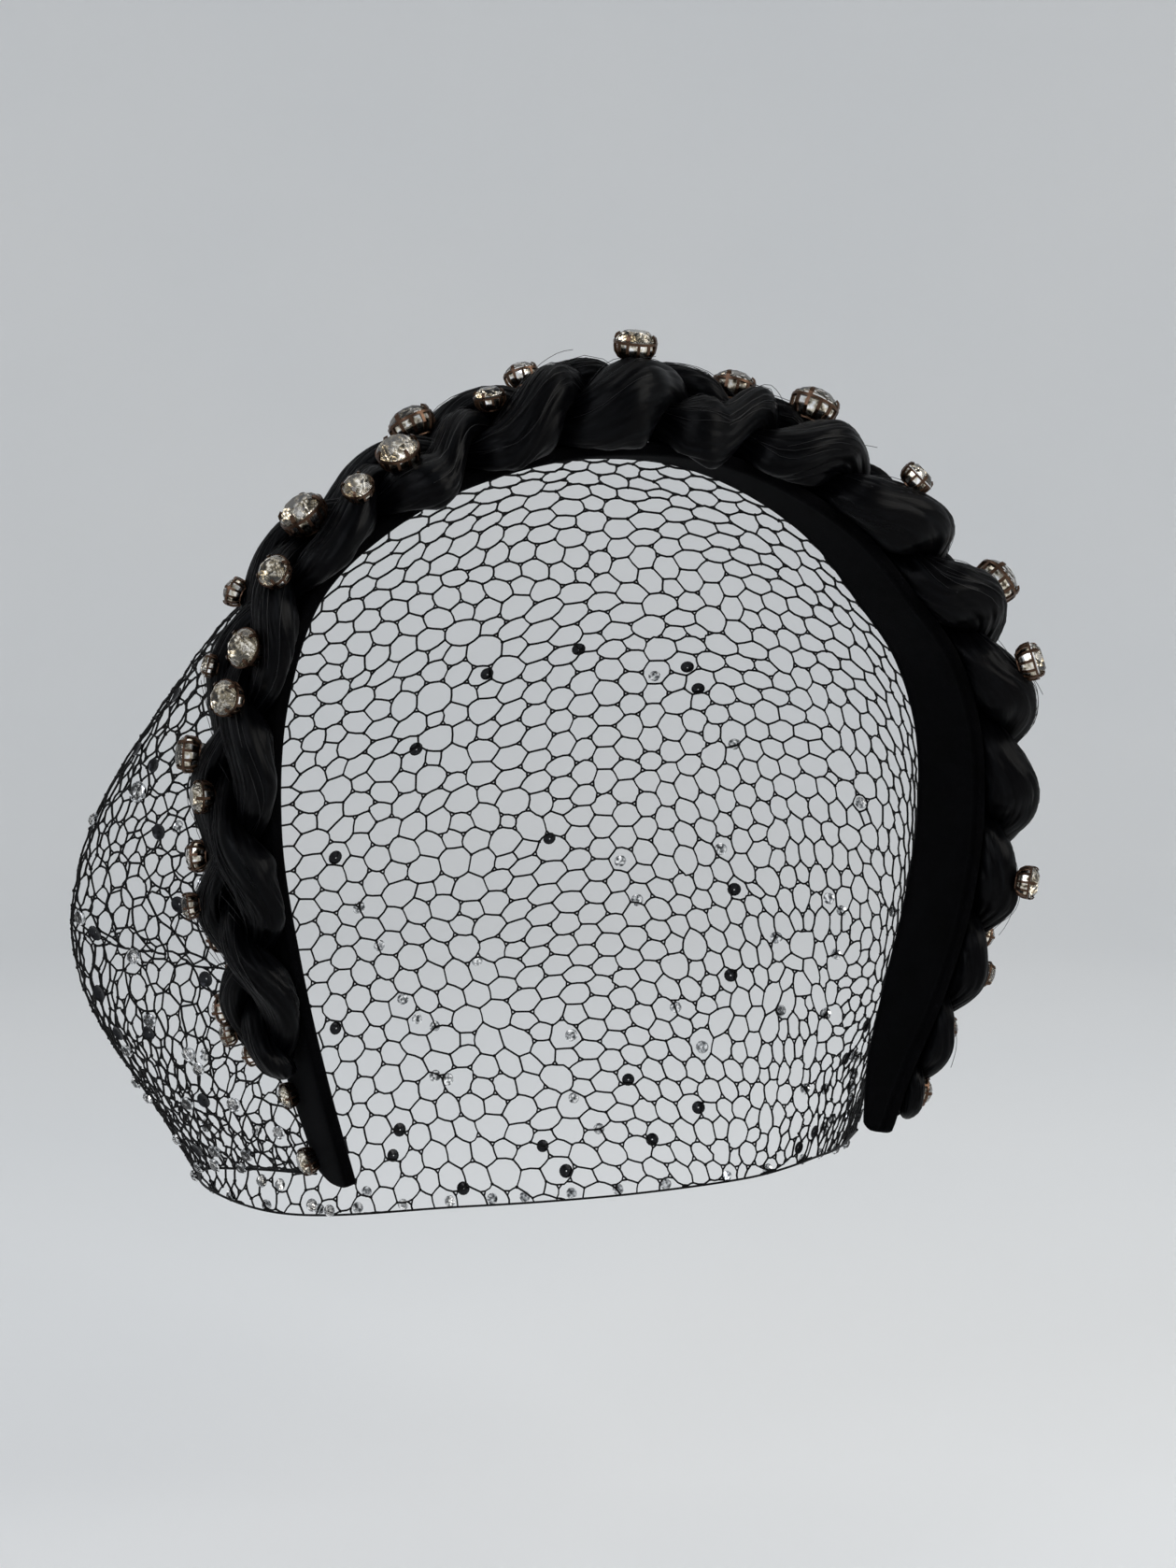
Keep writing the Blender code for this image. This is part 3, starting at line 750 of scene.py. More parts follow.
def strand_shape(strand, random):
    """Rings of one strand of hair in (along, centre, ray, reach) form."""
    along = end_stations(PLAIT_START, PLAIT_END, HAIR_RING_SPACING, HAIR_END_LENGTH)
    centres, sizes = plait_centres(along)
    own = centres[strand]
    planes = parting_planes(along, strand)
    for _ in range(CENTRE_PASSES):
        for normal, offset in planes:
            over = np.sum(own * normal, axis=-1) - offset + CENTRE_ROOM
            own = own - normal * np.maximum(over, 0.0)[:, None]
    angle = np.arange(HAIR_SIDES) * TURN / HAIR_SIDES
    ray = np.stack([np.cos(angle), np.sin(angle)], -1)[None]
    # The underside beds down on the band
    size = sizes[strand][:, None, :] * np.ones_like(ray)
    bed = HAIR_BED * (own[:, 1] - BAND_THICKNESS - HAIR_BAND_GAP)
    size[:, :, 1] = np.where(ray[..., 1] < 0, np.maximum(size[:, :, 1], bed[:, None]), size[:, :, 1])
    ratio = np.abs(ray) / size
    limit = np.sum(ratio**STRAND_SQUARENESS, axis=-1) ** (-1.0 / STRAND_SQUARENESS)
    for normal, offset in planes:
        room = (offset - np.sum(own * normal, axis=-1))[:, None]
        towards = np.sum(ray * normal[:, None, :], axis=-1)
        meets = room / np.maximum(towards, 1e-3)
        limit = np.where(towards > 1e-3, np.minimum(limit, meets), limit)
    own = own[:, None, :]
    limit = np.minimum(limit, band_limit(along, own, ray))
    limit = eased(eased(limit, HAIR_ROUNDING, 1), HAIR_EASING, 0)
    turned = angle[None, :]
    far = along[:, None]
    swings = zip(UNEVEN_ROWS, random.uniform(0.0, TURN, 3))
    uneven = sum(
        size * np.sin(count * turned + TURN * far / length + start)
        for (count, length, size), start in swings
    )
    limit = limit * (1.0 + HAIR_UNEVEN * uneven)
    girth = TURN * float(np.median(limit))
    locks = bundles(turned, far, round(girth / LOCK_WIDTH), *LOCK_SWING, random)
    wisps = bundles(turned, far, round(girth / WISP_WIDTH), *WISP_SWING, random)
    relief = LOCK_DEPTH * (1.0 - locks) + WISP_DEPTH * (1.0 - wisps)
    relief = relief * np.clip(limit / FULL_RELIEF_RADIUS, LEAST_RELIEF, 1.0)
    reach = np.maximum(limit - relief, LEAST_REACH * limit)
    return along, own, ray, reach * closing(along, PLAIT_START, PLAIT_END, HAIR_END_LENGTH)[:, None]


def make_strand(number, shape, finish):
    along, own, ray, reach = shape
    ring = own + ray * reach[:, :, None]
    rings = ARCH.place(along, ring[:, :, 0], ring[:, :, 1])
    name = f"hair_strand_{number}"
    made, corners = closed_tube(name, rings, finish)
    mesh = made.data
    radius = float(np.median(reach)) * MM
    travelled = run_along(rings.mean(axis=1))
    count = len(along)
    turned = np.arange(HAIR_SIDES) * TURN / HAIR_SIDES
    fibre = np.zeros((count * HAIR_SIDES + 2, 3))
    fibre[:-2, 0] = np.tile(radius * np.cos(turned), count)
    fibre[:-2, 1] = np.tile(radius * np.sin(turned), count)
    fibre[:-2, 2] = np.repeat(travelled * FIBRE_STRETCH, HAIR_SIDES)
    fibre[-1, 2] = travelled[-1] * FIBRE_STRETCH
    attribute(mesh, "fibre", "FLOAT_VECTOR", "POINT", fibre)
    around = np.concatenate([np.asarray(c, float) for c in corners]) * TURN / HAIR_SIDES * radius
    vertex = np.zeros(len(mesh.loops), int)
    mesh.loops.foreach_get("vertex_index", vertex)
    level = np.concatenate([np.repeat(travelled, HAIR_SIDES), [0.0, travelled[-1]]])[vertex]
    uv = mesh.uv_layers.new(name="combed")
    uv.data.foreach_set("uv", np.stack([around, level], -1).ravel())
    return made


# Geometry trees

def new_tree(name, sockets):
    tree = bpy.data.node_groups.new(name, "GeometryNodeTree")
    tree.interface.new_socket("Geometry", in_out="INPUT", socket_type="NodeSocketGeometry")
    tree.interface.new_socket("Geometry", in_out="OUTPUT", socket_type="NodeSocketGeometry")
    for label, kind in sockets.items():
        tree.interface.new_socket(label, in_out="INPUT", socket_type="NodeSocket" + kind)
    return tree, add(tree, "NodeGroupInput", {}).outputs


def end_tree(tree, shape, given, second=None):
    """Makes a tree's copies real and gives them their finish, and what is marked second the
    second finish."""
    whole = add(tree, "GeometryNodeRealizeInstances", {"Geometry": shape}).outputs["Geometry"]
    done = {"Geometry": whole, "Material": given["Finish"]}
    done = add(tree, "GeometryNodeSetMaterial", done).outputs["Geometry"]
    if second:
        done = {"Geometry": done, "Selection": second, "Material": given["Second finish"]}
        done = add(tree, "GeometryNodeSetMaterial", done).outputs["Geometry"]
    add(tree, "NodeGroupOutput", {"Geometry": done})
    return tree


def thread_tree():
    """Round threads along every edge of a mesh."""
    sockets = {"Thickness": "Float", "Sides": "Int", "Finish": "Material"}
    tree, given = new_tree("threads_along_edges", sockets)
    path = add(tree, "GeometryNodeMeshToCurve", {"Mesh": given["Geometry"]}).outputs["Curve"]
    half = add(tree, "ShaderNodeMath", {0: given["Thickness"], 1: 0.5}, operation="MULTIPLY")
    section = {"Resolution": given["Sides"], "Radius": half.outputs["Value"]}
    section = add(tree, "GeometryNodeCurvePrimitiveCircle", section, mode="RADIUS")
    sweep = {"Curve": path, "Profile Curve": section.outputs["Curve"], "Fill Caps": True}
    return end_tree(tree, add(tree, "GeometryNodeCurveToMesh", sweep).outputs["Mesh"], given)


def setting_tree():
    """One copy of a pattern piece at every point, turned and sized by the point's own turn
    and size. Faces marked second in the pattern get the second finish."""
    sockets = {"Pattern": "Object", "Finish": "Material", "Second finish": "Material"}
    tree, given = new_tree("pieces_at_points", sockets)
    pattern = {"Object": given["Pattern"], "As Instance": True}
    pattern = add(tree, "GeometryNodeObjectInfo", pattern).outputs["Geometry"]
    stored = {}
    for name, kind in (("turn", "FLOAT_VECTOR"), ("size", "FLOAT"), ("second", "BOOLEAN")):
        read = add(tree, "GeometryNodeInputNamedAttribute", {"Name": name}, data_type=kind)
        stored[name] = read.outputs["Attribute"]
    turn = add(tree, "FunctionNodeEulerToRotation", {"Euler": stored["turn"]})
    copies = {"Points": given["Geometry"], "Instance": pattern, "Scale": stored["size"]}
    copies["Rotation"] = turn.outputs["Rotation"]
    copies = add(tree, "GeometryNodeInstanceOnPoints", copies).outputs["Instances"]
    return end_tree(tree, copies, given, stored["second"])


def grown(name, tree, mesh, values):
    """The plain mesh object that a tree makes from a mesh and the values of its inputs."""
    seed = new_object(name + "_seed", mesh)
    modifier = seed.modifiers.new("grow", "NODES")
    modifier.node_group = tree
    for item in tree.interface.items_tree:
        if item.in_out == "INPUT" and item.name in values:
            modifier[item.identifier] = values[item.name]
    bpy.context.view_layer.update()
    depsgraph = bpy.context.evaluated_depsgraph_get()
    result = bpy.data.meshes.new_from_object(seed.evaluated_get(depsgraph), depsgraph=depsgraph)
    result.name = name
    seed.modifiers.remove(modifier)
    bpy.data.objects.remove(seed, do_unlink=True)
    return new_object(name, result)


def threads_along(name, tree, path, gauge, finish):
    """Smooth round threads along a path of (points, edges), of a gauge (thickness, sides)."""
    values = {"Thickness": gauge[0] * MM, "Sides": gauge[1], "Finish": finish}
    made = grown(name, tree, mesh_from(name, path[0], [], path[1]), values)
    made.data.shade_smooth()
    return made


def copies_at(name, tree, seats, pattern, first, second):
    """Copies of a pattern at seats of (spots, turns, sizes), in two finishes."""
    spots, turns, sizes = seats
    mesh = mesh_from(name, spots, [])
    attribute(mesh, "turn", "FLOAT_VECTOR", "POINT", [tuple(turn.to_euler()) for turn in turns])
    attribute(mesh, "size", "FLOAT", "POINT", sizes)
    return grown(name, tree, mesh, {"Pattern": pattern, "Finish": first, "Second finish": second})


# Claw cups and cut stones, drawn for a stone of radius 1

CUP_BARS = 12
CLAW_EVERY = 3
PRESS_PROBE = 3.0
PRESS_IN = 0.4
PRESS_MOST = 2.4
HOOP_SIDES = 36
CUP_FLUTE = 0.95
BAR_NARROWING = 0.42
# Columns: radius, height, width of the bar, its thickness
BAR_ROWS = (
    (0.56, 0.03, 0.13, 0.06),
    (0.76, 0.12, 0.14, 0.07),
    (0.935, 0.34, 0.14, 0.07),
    (0.975, 0.54, 0.14, 0.07),
    (0.975, 0.72, 0.14, 0.07),
)
CLAW_ROWS = (
    (0.985, 0.84, 0.20, 0.085),
    (0.930, 0.98, 0.19, 0.085),
    (0.800, 1.06, 0.13, 0.070),
)
# Columns: inner and outer radius, low and high
HOOP_ROWS = (
    (0.40, 0.60, 0.00, 0.06),
    (0.90, 0.99, 0.66, 0.76),
)
# The bright wall inside the bars. Columns: radius, height.
CUP_WALL_ROWS = (
    (0.30, 0.035),
    (0.58, 0.05),
    (0.72, 0.13),
    (0.88, 0.34),
    (0.925, 0.52),
    (0.925, 0.72),
    (0.86, 0.72),
    (0.80, 0.40),
    (0.30, 0.10),
)
STONE_TABLE = (0.54, 1.14)
STONE_SHOULDER = (0.78, 0.988)
STONE_GIRDLE = (0.92, 0.82)
STONE_GIRDLE_LOW = 0.76
STONE_PAVILION = (0.42, 0.378)
STONE_CULET = 0.10
CRYSTAL_STRETCH = Vector((1.0, 1.0, 1.15))
# Rings of the small stone and its cup: radius, height
SMALL_TABLE = (0.50, 0.86)
SMALL_GIRDLE = (0.86, 0.52)
SMALL_LIP = (1.0, 0.42)
SMALL_FOOT = (0.8, 0.0)
# A cupped sequin. Columns: radius, height.
SEQUIN_SECTION = (
    (0.10, 0.02),
    (0.62, 0.04),
    (1.00, 0.24),
    (0.96, 0.32),
    (0.58, 0.13),
    (0.10, 0.11),
)
SEQUIN_SIDES = 14


def spoke(angle, radius, height, side=0.0):
    """The point at a radius and a height, in the direction of an angle, moved sideways."""
    out = Vector((math.cos(angle), math.sin(angle), 0.0))
    across = Vector((-math.sin(angle), math.cos(angle), 0.0))
    return out * radius + across * side + Vector((0, 0, height))


def bar_ring(angle, row, depth):
    """Section of a bar, a little narrower inside than outside."""
    radius, height, width, _ = row
    inner = radius - depth[0]
    lower = height - depth[1]
    half, back = 0.5 * width, BAR_NARROWING * width
    corners = ((radius, height, half), (radius, height, -half))
    corners += ((inner, lower, -back), (inner, lower, back))
    return [spoke(angle, *corner) for corner in corners]


def add_loop(shape, rings, closed):
    """Faces between rings of points, with the ends capped unless the rings close on
    themselves."""
    grid = [[shape.verts.new(point) for point in ring] for ring in rings]
    pairs = list(zip(grid, grid[1:])) + ([(grid[-1], grid[0])] if closed else [])
    size = len(grid[0])
    for a, b in pairs:
        for i in range(size):
            j = (i + 1) % size
            shape.faces.new((a[i], a[j], b[j], b[i]))
    if not closed:
        shape.faces.new(grid[0][::-1])
        shape.faces.new(grid[-1])


def turned_rings(section, count, fold=1.0):
    """A section of (radius, height) points turned round Z. Every other one is drawn in by fold."""
    return [
        [spoke(TURN * k / count, radius * (fold if k % 2 else 1.0), height)
         for radius, height in section]
        for k in range(count)
    ]


def pattern_object(name, shape, smooth_angle=None):
    bmesh.ops.recalc_face_normals(shape, faces=shape.faces)
    mesh = bpy.data.meshes.new(name)
    shape.to_mesh(mesh)
    shape.free()
    if smooth_angle:
        mesh.shade_smooth()
        mesh.set_sharp_from_angle(angle=math.radians(smooth_angle))
    return new_object(name, mesh)


def cup_pattern():
    """Stamped claw cup: hoops, upright bars, every third one bent over as a claw, and the
    bright wall behind them."""
    shape = bmesh.new()
    for inner, outer, low, high in HOOP_ROWS:
        section = ((inner, low), (outer, low), (outer, high), (inner, high))
        add_loop(shape, turned_rings(section, HOOP_SIDES), True)
    for k in range(CUP_BARS):
        rows = BAR_ROWS + (CLAW_ROWS if k % CLAW_EVERY == 0 else ())
        profile = [Vector(row[:2]) for row in rows]
        rings = []
        for i, row in enumerate(rows):
            run = profile[min(i + 1, len(rows) - 1)] - profile[max(i - 1, 0)]
            run.normalize()
            rings.append(bar_ring(TURN * k / CUP_BARS, row, (run.y * row[3], -run.x * row[3])))
        add_loop(shape, rings, False)
    frame_faces = len(shape.faces)
    add_loop(shape, turned_rings(CUP_WALL_ROWS, 2 * CUP_BARS, CUP_FLUTE), True)
    second = shape.faces.layers.bool.new("second")
    shape.faces.ensure_lookup_table()
    for face in shape.faces[frame_faces:]:
        face[second] = True
    bmesh.ops.scale(shape, vec=CRYSTAL_STRETCH, verts=shape.verts)
    return pattern_object("claw_cup_pattern", shape, 22.0)


def ring_of(shape, count, radius, height, turn=0.0):
    angles = [TURN * (k + turn) / count for k in range(count)]
    return [shape.verts.new((radius * math.cos(a), radius * math.sin(a), height)) for a in angles]


def stone_pattern():
    """Brilliant-cut stone: table, star, kite and girdle facets above, and mains and halves
    below. The faces below the girdle are foiled."""
    shape = bmesh.new()
    second = shape.faces.layers.bool.new("second")
    table = ring_of(shape, 8, *STONE_TABLE, 0.5)
    shoulder = ring_of(shape, 8, *STONE_SHOULDER)
    girdle = ring_of(shape, 16, *STONE_GIRDLE)
    low = ring_of(shape, 16, STONE_GIRDLE[0], STONE_GIRDLE_LOW)
    pavilion = ring_of(shape, 8, *STONE_PAVILION, 0.5)
    culet = shape.verts.new((0.0, 0.0, STONE_CULET))
    new = shape.faces.new
    new(table)
    for k in range(8):
        n = (k + 1) % 8
        left, centre, right = 2 * k, 2 * k + 1, (2 * k + 2) % 16
        new((table[k - 1], table[k], shoulder[k]))
        new((table[k], shoulder[k], girdle[centre], shoulder[n]))
        new((shoulder[k], girdle[left], girdle[centre]))
        new((shoulder[n], girdle[centre], girdle[right]))
        new((girdle[left], low[left], low[centre], girdle[centre]))
        new((girdle[centre], low[centre], low[right], girdle[right]))
        for face in (
            new((low[left], pavilion[k], low[centre])),
            new((low[centre], pavilion[k], low[right])),
            new((low[left], pavilion[k - 1], culet, pavilion[k])),
        ):
            face[second] = True
    bmesh.ops.scale(shape, vec=CRYSTAL_STRETCH, verts=shape.verts)
    return pattern_object("cut_stone_pattern", shape)


def small_stone_pattern():
    """Small sew-on stone: faceted crown over a round metal cup, radius 1."""
    shape = bmesh.new()
    second = shape.faces.layers.bool.new("second")
    table = ring_of(shape, 6, *SMALL_TABLE, 0.5)
    girdle = ring_of(shape, 6, *SMALL_GIRDLE)
    lip = ring_of(shape, 12, *SMALL_LIP)
    foot = ring_of(shape, 12, *SMALL_FOOT)
    new = shape.faces.new
    new(table)
    for k in range(6):
        n = (k + 1) % 6
        new((girdle[k], girdle[n], table[k]))
        new((girdle[n], table[n], table[k]))
        for face in (
            new((lip[2 * k], lip[2 * k + 1], girdle[k])),
            new((lip[2 * k + 1], girdle[n], girdle[k])),
            new((lip[2 * k + 1], lip[(2 * k + 2) % 12], girdle[n])),
        ):
            face[second] = True
    for k in range(12):
        n = (k + 1) % 12
        new((foot[k], foot[n], lip[n], lip[k]))[second] = True
    new(foot)[second] = True
    return pattern_object("small_stone_pattern", shape)


def sequin_pattern():
    """Cupped sequin of radius 1 with a sewing hole."""
    shape = bmesh.new()
    add_loop(shape, turned_rings(SEQUIN_SECTION, SEQUIN_SIDES), True)
    return pattern_object("sequin_pattern", shape, 30.0)


def knot_pattern():
    shape = bmesh.new()
    bmesh.ops.create_icosphere(shape, subdivisions=1, radius=1.0)
    return pattern_object("knot_pattern", shape, 80.0)


def surface_of(objects):
    """One search tree over the meshes of several objects, which all sit at the origin."""
    points = []
    faces = []
    for item in objects:
        start = len(points)
        points += [vertex.co for vertex in item.data.vertices]
        faces += [[start + i for i in face.vertices] for face in item.data.polygons]
    return BVHTree.FromPolygons(points, faces)


def crystal_frames(nodes, carriers):
    """Base point, turn and radius of each crystal, read from its solid. The base is pressed
    down until it meets the hair."""
    spots, turns, sizes = [], [], []
    for name in nodes:
        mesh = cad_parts[name].data
        points = np.unique(np.round([tuple(v.co) for v in mesh.vertices], 7), axis=0)
        middle = points.mean(axis=0)
        axis = np.linalg.eigh(np.cov((points - middle).T))[1][:, 0]
        heights = (points - middle) @ axis
        if heights.max() + heights.min() > 0:
            axis, heights = -axis, -heights
        base = middle + axis * heights.min()
        lateral = (points - middle) - np.outer(heights, axis)
        widths = np.linalg.norm(lateral, axis=1)
        widest = int(widths.argmax())
        spin = lateral[widest] / widths[widest]
        matrix = Matrix((spin, np.cross(axis, spin), axis)).transposed()
        probe = Vector(base + axis * PRESS_PROBE * MM)
        hit = carriers.ray_cast(probe, Vector(-axis))[3]
        drop = 0.0 if hit is None else hit - PRESS_PROBE * MM + PRESS_IN * MM
        spots.append(base - axis * min(max(drop, 0.0), PRESS_MOST * MM))
        turns.append(matrix.to_quaternion())
        sizes.append(float(widths[widest]))
    return spots, turns, sizes


# The net veil

def veil_surface(across, down):
    """Point of the net: across runs 0 to 1 along the band, down runs 0 to 1 to the hem."""
    along = VEIL_START + (VEIL_END - VEIL_START) * across
    spot = ARCH.at(along)
    out = ARCH.outward(along)
    edge = spot[:, 2] + VEIL_EDGE_GAP
    half = 0.5 * BAND_THICKNESS
    rim = np.stack([spot[:, 0] + out[:, 0] * half, edge, spot[:, 1] + out[:, 1] * half], -1)
    angle = math.pi * across
    hem_side = HEM_HALF_WIDTH * np.cos(angle) + HEM_FLARE * np.sin(2.0 * angle)
    hem_ahead = edge + HEM_DEPTH * np.sin(angle)
    rows = np.array(SWELL_ROWS)
    forward, bulge, rise, swell, hem_height = smooth_rows(rows[:, 0], rows[:, 1:], across).T
    hem = np.stack([HEM_CENTRE_SIDE - hem_side, hem_ahead, hem_height], -1)
    first = rim + np.stack([out[:, 0] * bulge, forward, out[:, 1] * bulge], -1)
    last = hem + np.stack([-np.cos(angle) * swell, np.sin(angle) * swell, rise], -1)
    # The net's edge is tucked over the band's rim
    rim = rim - np.stack([np.zeros_like(edge), np.full_like(edge, NET_TUCK), np.zeros_like(edge)], -1)
    t = down[:, None]
    return ((1 - t) ** 3 * rim + 3 * (1 - t) ** 2 * t * first
            + 3 * (1 - t) * t**2 * last + t**3 * hem) * MM


def net_normal(across, down):
    """Outward direction of the net."""
    a = veil_surface(np.clip(across + NORMAL_STEP, 0, 1), down)
    b = veil_surface(np.clip(across - NORMAL_STEP, 0, 1), down)
    c = veil_surface(across, np.clip(down + NORMAL_STEP, 0, 1))
    d = veil_surface(across, np.clip(down - NORMAL_STEP, 0, 1))
    out = np.cross(a - b, c - d)
    out /= np.maximum(np.linalg.norm(out, axis=1), 1e-12)[:, None]
    middle = np.array(VEIL_MIDDLE) * MM
    facing = np.sum(out * (veil_surface(across, down) - middle), axis=1)
    return out * np.where(facing < 0, -1.0, 1.0)[:, None]


def crease_line():
    path = np.array(CREASE_PATH)
    part = np.linspace(0.0, 1.0, CREASE_POINTS)[:, None]
    share, down = np.concatenate([a + (b - a) * part for a, b in zip(path, path[1:])]).T
    drop = np.sin(math.pi * np.linspace(0.15, 1.0, len(share))) * CREASE_DEPTH * MM
    return veil_surface(share, down) - net_normal(share, down) * drop[:, None]


def net_point(across, down):
    """Point of the finished net, drawn in along the crease."""
    points = veil_surface(across, down)
    line = crease_line()
    away = np.linalg.norm(points[:, None] - line[None], axis=-1)
    near = away.argmin(axis=1)
    pull = CREASE_GATHER * np.exp(-((away.min(axis=1) / (CREASE_REACH * MM)) ** 2))
    pull = pull * (across < CREASE_SIDE)
    return points + (line[near] - points) * pull[:, None]


class NetCloth:
    """The net laid flat in millimetres: x along the band, measured halfway down, and y down
    from the band."""

    def __init__(self, columns=401, levels=81):
        self.shares = np.linspace(0.0, 1.0, columns)
        self.x = run_along(veil_surface(self.shares, np.full(columns, 0.5)), MM)
        down = np.linspace(0.0, 1.0, levels)
        lines = [veil_surface(np.full(levels, share), down) for share in self.shares]
        lengths = [run_along(line) / MM for line in lines]
        self.depth = np.array([run[-1] for run in lengths])
        self.y = np.arange(0.0, self.depth.max() + 1.0, CLOTH_STEP)
        self.table = np.array([np.interp(self.y, run, down) for run in lengths])

    def share_at(self, x):
        return np.interp(x, self.x, self.shares)

    def depth_at(self, x):
        return np.interp(x, self.x, self.depth)

    def down_at(self, x, y):
        column = np.interp(x, self.x, np.arange(len(self.x)))
        level = np.clip(y / CLOTH_STEP, 0, len(self.y) - 1.001)
        c = np.clip(column.astype(int), 0, len(self.x) - 2)
        r = level.astype(int)
        fc = column - c
        fr = level - r
        table = self.table
        near = table[c, r] * (1 - fr) + table[c, r + 1] * fr
        far = table[c + 1, r] * (1 - fr) + table[c + 1, r + 1] * fr
        return near * (1 - fc) + far * fc

    def place(self, x, y):
        share = self.share_at(x)
        down = self.down_at(x, y)
        return net_point(share, down), share, down

    def reach_past(self, x, y):
        """Points in space that may lie a little past the band or the hem."""
        inside = np.clip(y, 0.0, self.depth_at(x))
        share = self.share_at(x)
        down = self.down_at(x, inside)
        spot = veil_surface(share, down)
        run = veil_surface(share, np.minimum(down + 0.01, 1.0))
        run = run - veil_surface(share, np.maximum(down - 0.01, 0.0))
        run /= np.maximum(np.linalg.norm(run, axis=1), 1e-9)[:, None]
        return spot + run * (y - inside)[:, None] * MM


def cell_centres(cloth, random):
    """Middles of the net's cells, laid flat, in rows that keep the cells one width apart."""
    places = []
    row_step = 0.5 * math.sqrt(3.0) * CELL_WIDTH
    columns = cloth.x
    for row in range(-1, int(cloth.depth.max() / row_step) + 3):
        y = row * row_step
        run = run_along(cloth.reach_past(columns, np.minimum(y, cloth.depth)), MM)
        spots = np.arange(0.5 * (row % 2), run[-1] / CELL_WIDTH) * CELL_WIDTH
        spots = spots + random.normal(0.0, CELL_JITTER, len(spots))
        x = np.clip(np.interp(spots, run, columns), columns[0], columns[-1])
        drop = y + random.normal(0.0, CELL_JITTER, len(x))
        kept = cloth.depth_at(x) > y - CELL_REACH * row_step
        places.append(np.stack([x, drop], -1)[kept])
    return np.concatenate(places)


def corner_angle(at, a, b):
    u = [p - q for p, q in zip(a, at)]
    v = [p - q for p, q in zip(b, at)]
    size = math.sqrt(sum(p * p for p in u) * sum(p * p for p in v))
    return math.acos(max(-1.0, min(1.0, sum(p * q for p, q in zip(u, v)) / max(size, 1e-18))))


def evened(triangles, points):
    """Swaps the shared side of two triangles wherever the other diagonal suits the cloth's
    real shape better. Returns the triangles and each side's triangles."""
    sides = {}
    for number, corners in enumerate(triangles):
        for k in range(3):
            sides.setdefault(frozenset((corners[k - 1], corners[k])), []).append(number)
    waiting = list(sides)
    while waiting:
        side = waiting.pop()
        pair = sides.get(side, ())
        if len(pair) != 2:
            continue
        m, n = pair
        a, b = sorted(side)
        c = (set(triangles[m]) - side).pop()
        d = (set(triangles[n]) - side).pop()
        total = corner_angle(points[c], points[a], points[b])
        total += corner_angle(points[d], points[a], points[b])
        if total <= math.pi + 1e-6 or frozenset((c, d)) in sides:
            continue
        triangles[m] = [a, c, d]
        triangles[n] = [b, c, d]
        del sides[side]
        sides[frozenset((c, d))] = [m, n]
        moved = sides[frozenset((a, d))]
        moved[moved.index(n)] = m
        moved = sides[frozenset((b, c))]
        moved[moved.index(m)] = n
        waiting += [frozenset(s) for s in ((a, c), (a, d), (b, c), (b, d))]
    return triangles, sides


def net_threads(cloth, random):
    """Points and edges of all the threads, and where the plain knots are. The knots sit
    between the cells, three threads to a knot."""
    centres = cell_centres(cloth, random)
    flat_faces = delaunay_2d_cdt([Vector(c) for c in centres], [], [], 0, 1e-6)
    order = [ids[0] for ids in flat_faces[3]]
    triangles = [[order[i] for i in face] for face in flat_faces[2]]
    spots = cloth.reach_past(centres[:, 0], centres[:, 1]).tolist()
    triangles, sides = evened(triangles, spots)
    crossing = centres[np.array(triangles)].mean(axis=1)
    depth = cloth.depth_at(crossing[:, 0])
    inside = (crossing[:, 1] > 0.0) & (crossing[:, 1] < depth)
    y_in = np.clip(crossing[:, 1], 0.0, depth)
    knot = cloth.place(crossing[:, 0], y_in)[0]
    looped = random.random(len(crossing)) < LOOP_SHARE
    points = []
    edges = []
    plain = {}
    loops = {}

    def add_point(place):
        points.append(place)
        return len(points) - 1

    def end_of(at, place):
        """The end of a thread at a crossing: its knot, or its corner of a small loop."""
        if not looped[at]:
            if at not in plain:
                plain[at] = add_point(knot[at])
            return plain[at]
        run = place - knot[at]
        made = add_point(knot[at] + run * LOOP_REACH * MM / max(np.linalg.norm(run), 1e-9))
        loops.setdefault(at, []).append(made)
        return made

    for pair in sides.values():
        if len(pair) != 2 or not (inside[pair[0]] or inside[pair[1]]):
            continue
        a, b = pair if inside[pair[0]] else pair[::-1]
        if np.linalg.norm(knot[a] - knot[b]) > LONGEST_THREAD * MM:
            continue
        start = end_of(a, knot[b])
        if inside[b]:
            stop = end_of(b, knot[a])
        else:
            stop = add_point(knot[b])
        bow = random.normal(0.0, THREAD_BOW * MM, 3)
        centre = add_point(0.5 * (points[start] + points[stop]) + bow)
        edges += [(start, centre), (centre, stop)]
    for around in loops.values():
        if len(around) == 2:
            edges.append(tuple(around))
        elif len(around) > 2:
            edges += [(around[k - 1], around[k]) for k in range(len(around))]
    knots = np.array([points[i] for i in sorted(plain.values())])
    return np.array(points), edges, knots


def net_edge(down):
    """The rim (down 0) or hem (down 1) of the net, as points and edges."""
    shares = np.linspace(0.0, 1.0, HEM_POINTS)
    edges = [(i, i + 1) for i in range(HEM_POINTS - 1)]
    return net_point(shares, np.full(HEM_POINTS, down)), edges


def turn_to(normal, random):
    """A turn that points Z along the normal, with a random spin."""
    spin = Quaternion((0.0, 0.0, 1.0), random.uniform(0.0, TURN))
    return Vector(normal).to_track_quat("Z", "Y") @ spin


def camera_pose():
    azimuth = math.radians(CAMERA_AZIMUTH)
    elevation = math.radians(CAMERA_ELEVATION)
    ahead = Vector((
        -math.sin(azimuth) * math.cos(elevation),
        math.cos(azimuth) * math.cos(elevation),
        -math.sin(elevation),
    ))
    return Vector(CAMERA_TARGET) - ahead * CAMERA_DISTANCE, ahead.to_track_quat("-Z", "Y")


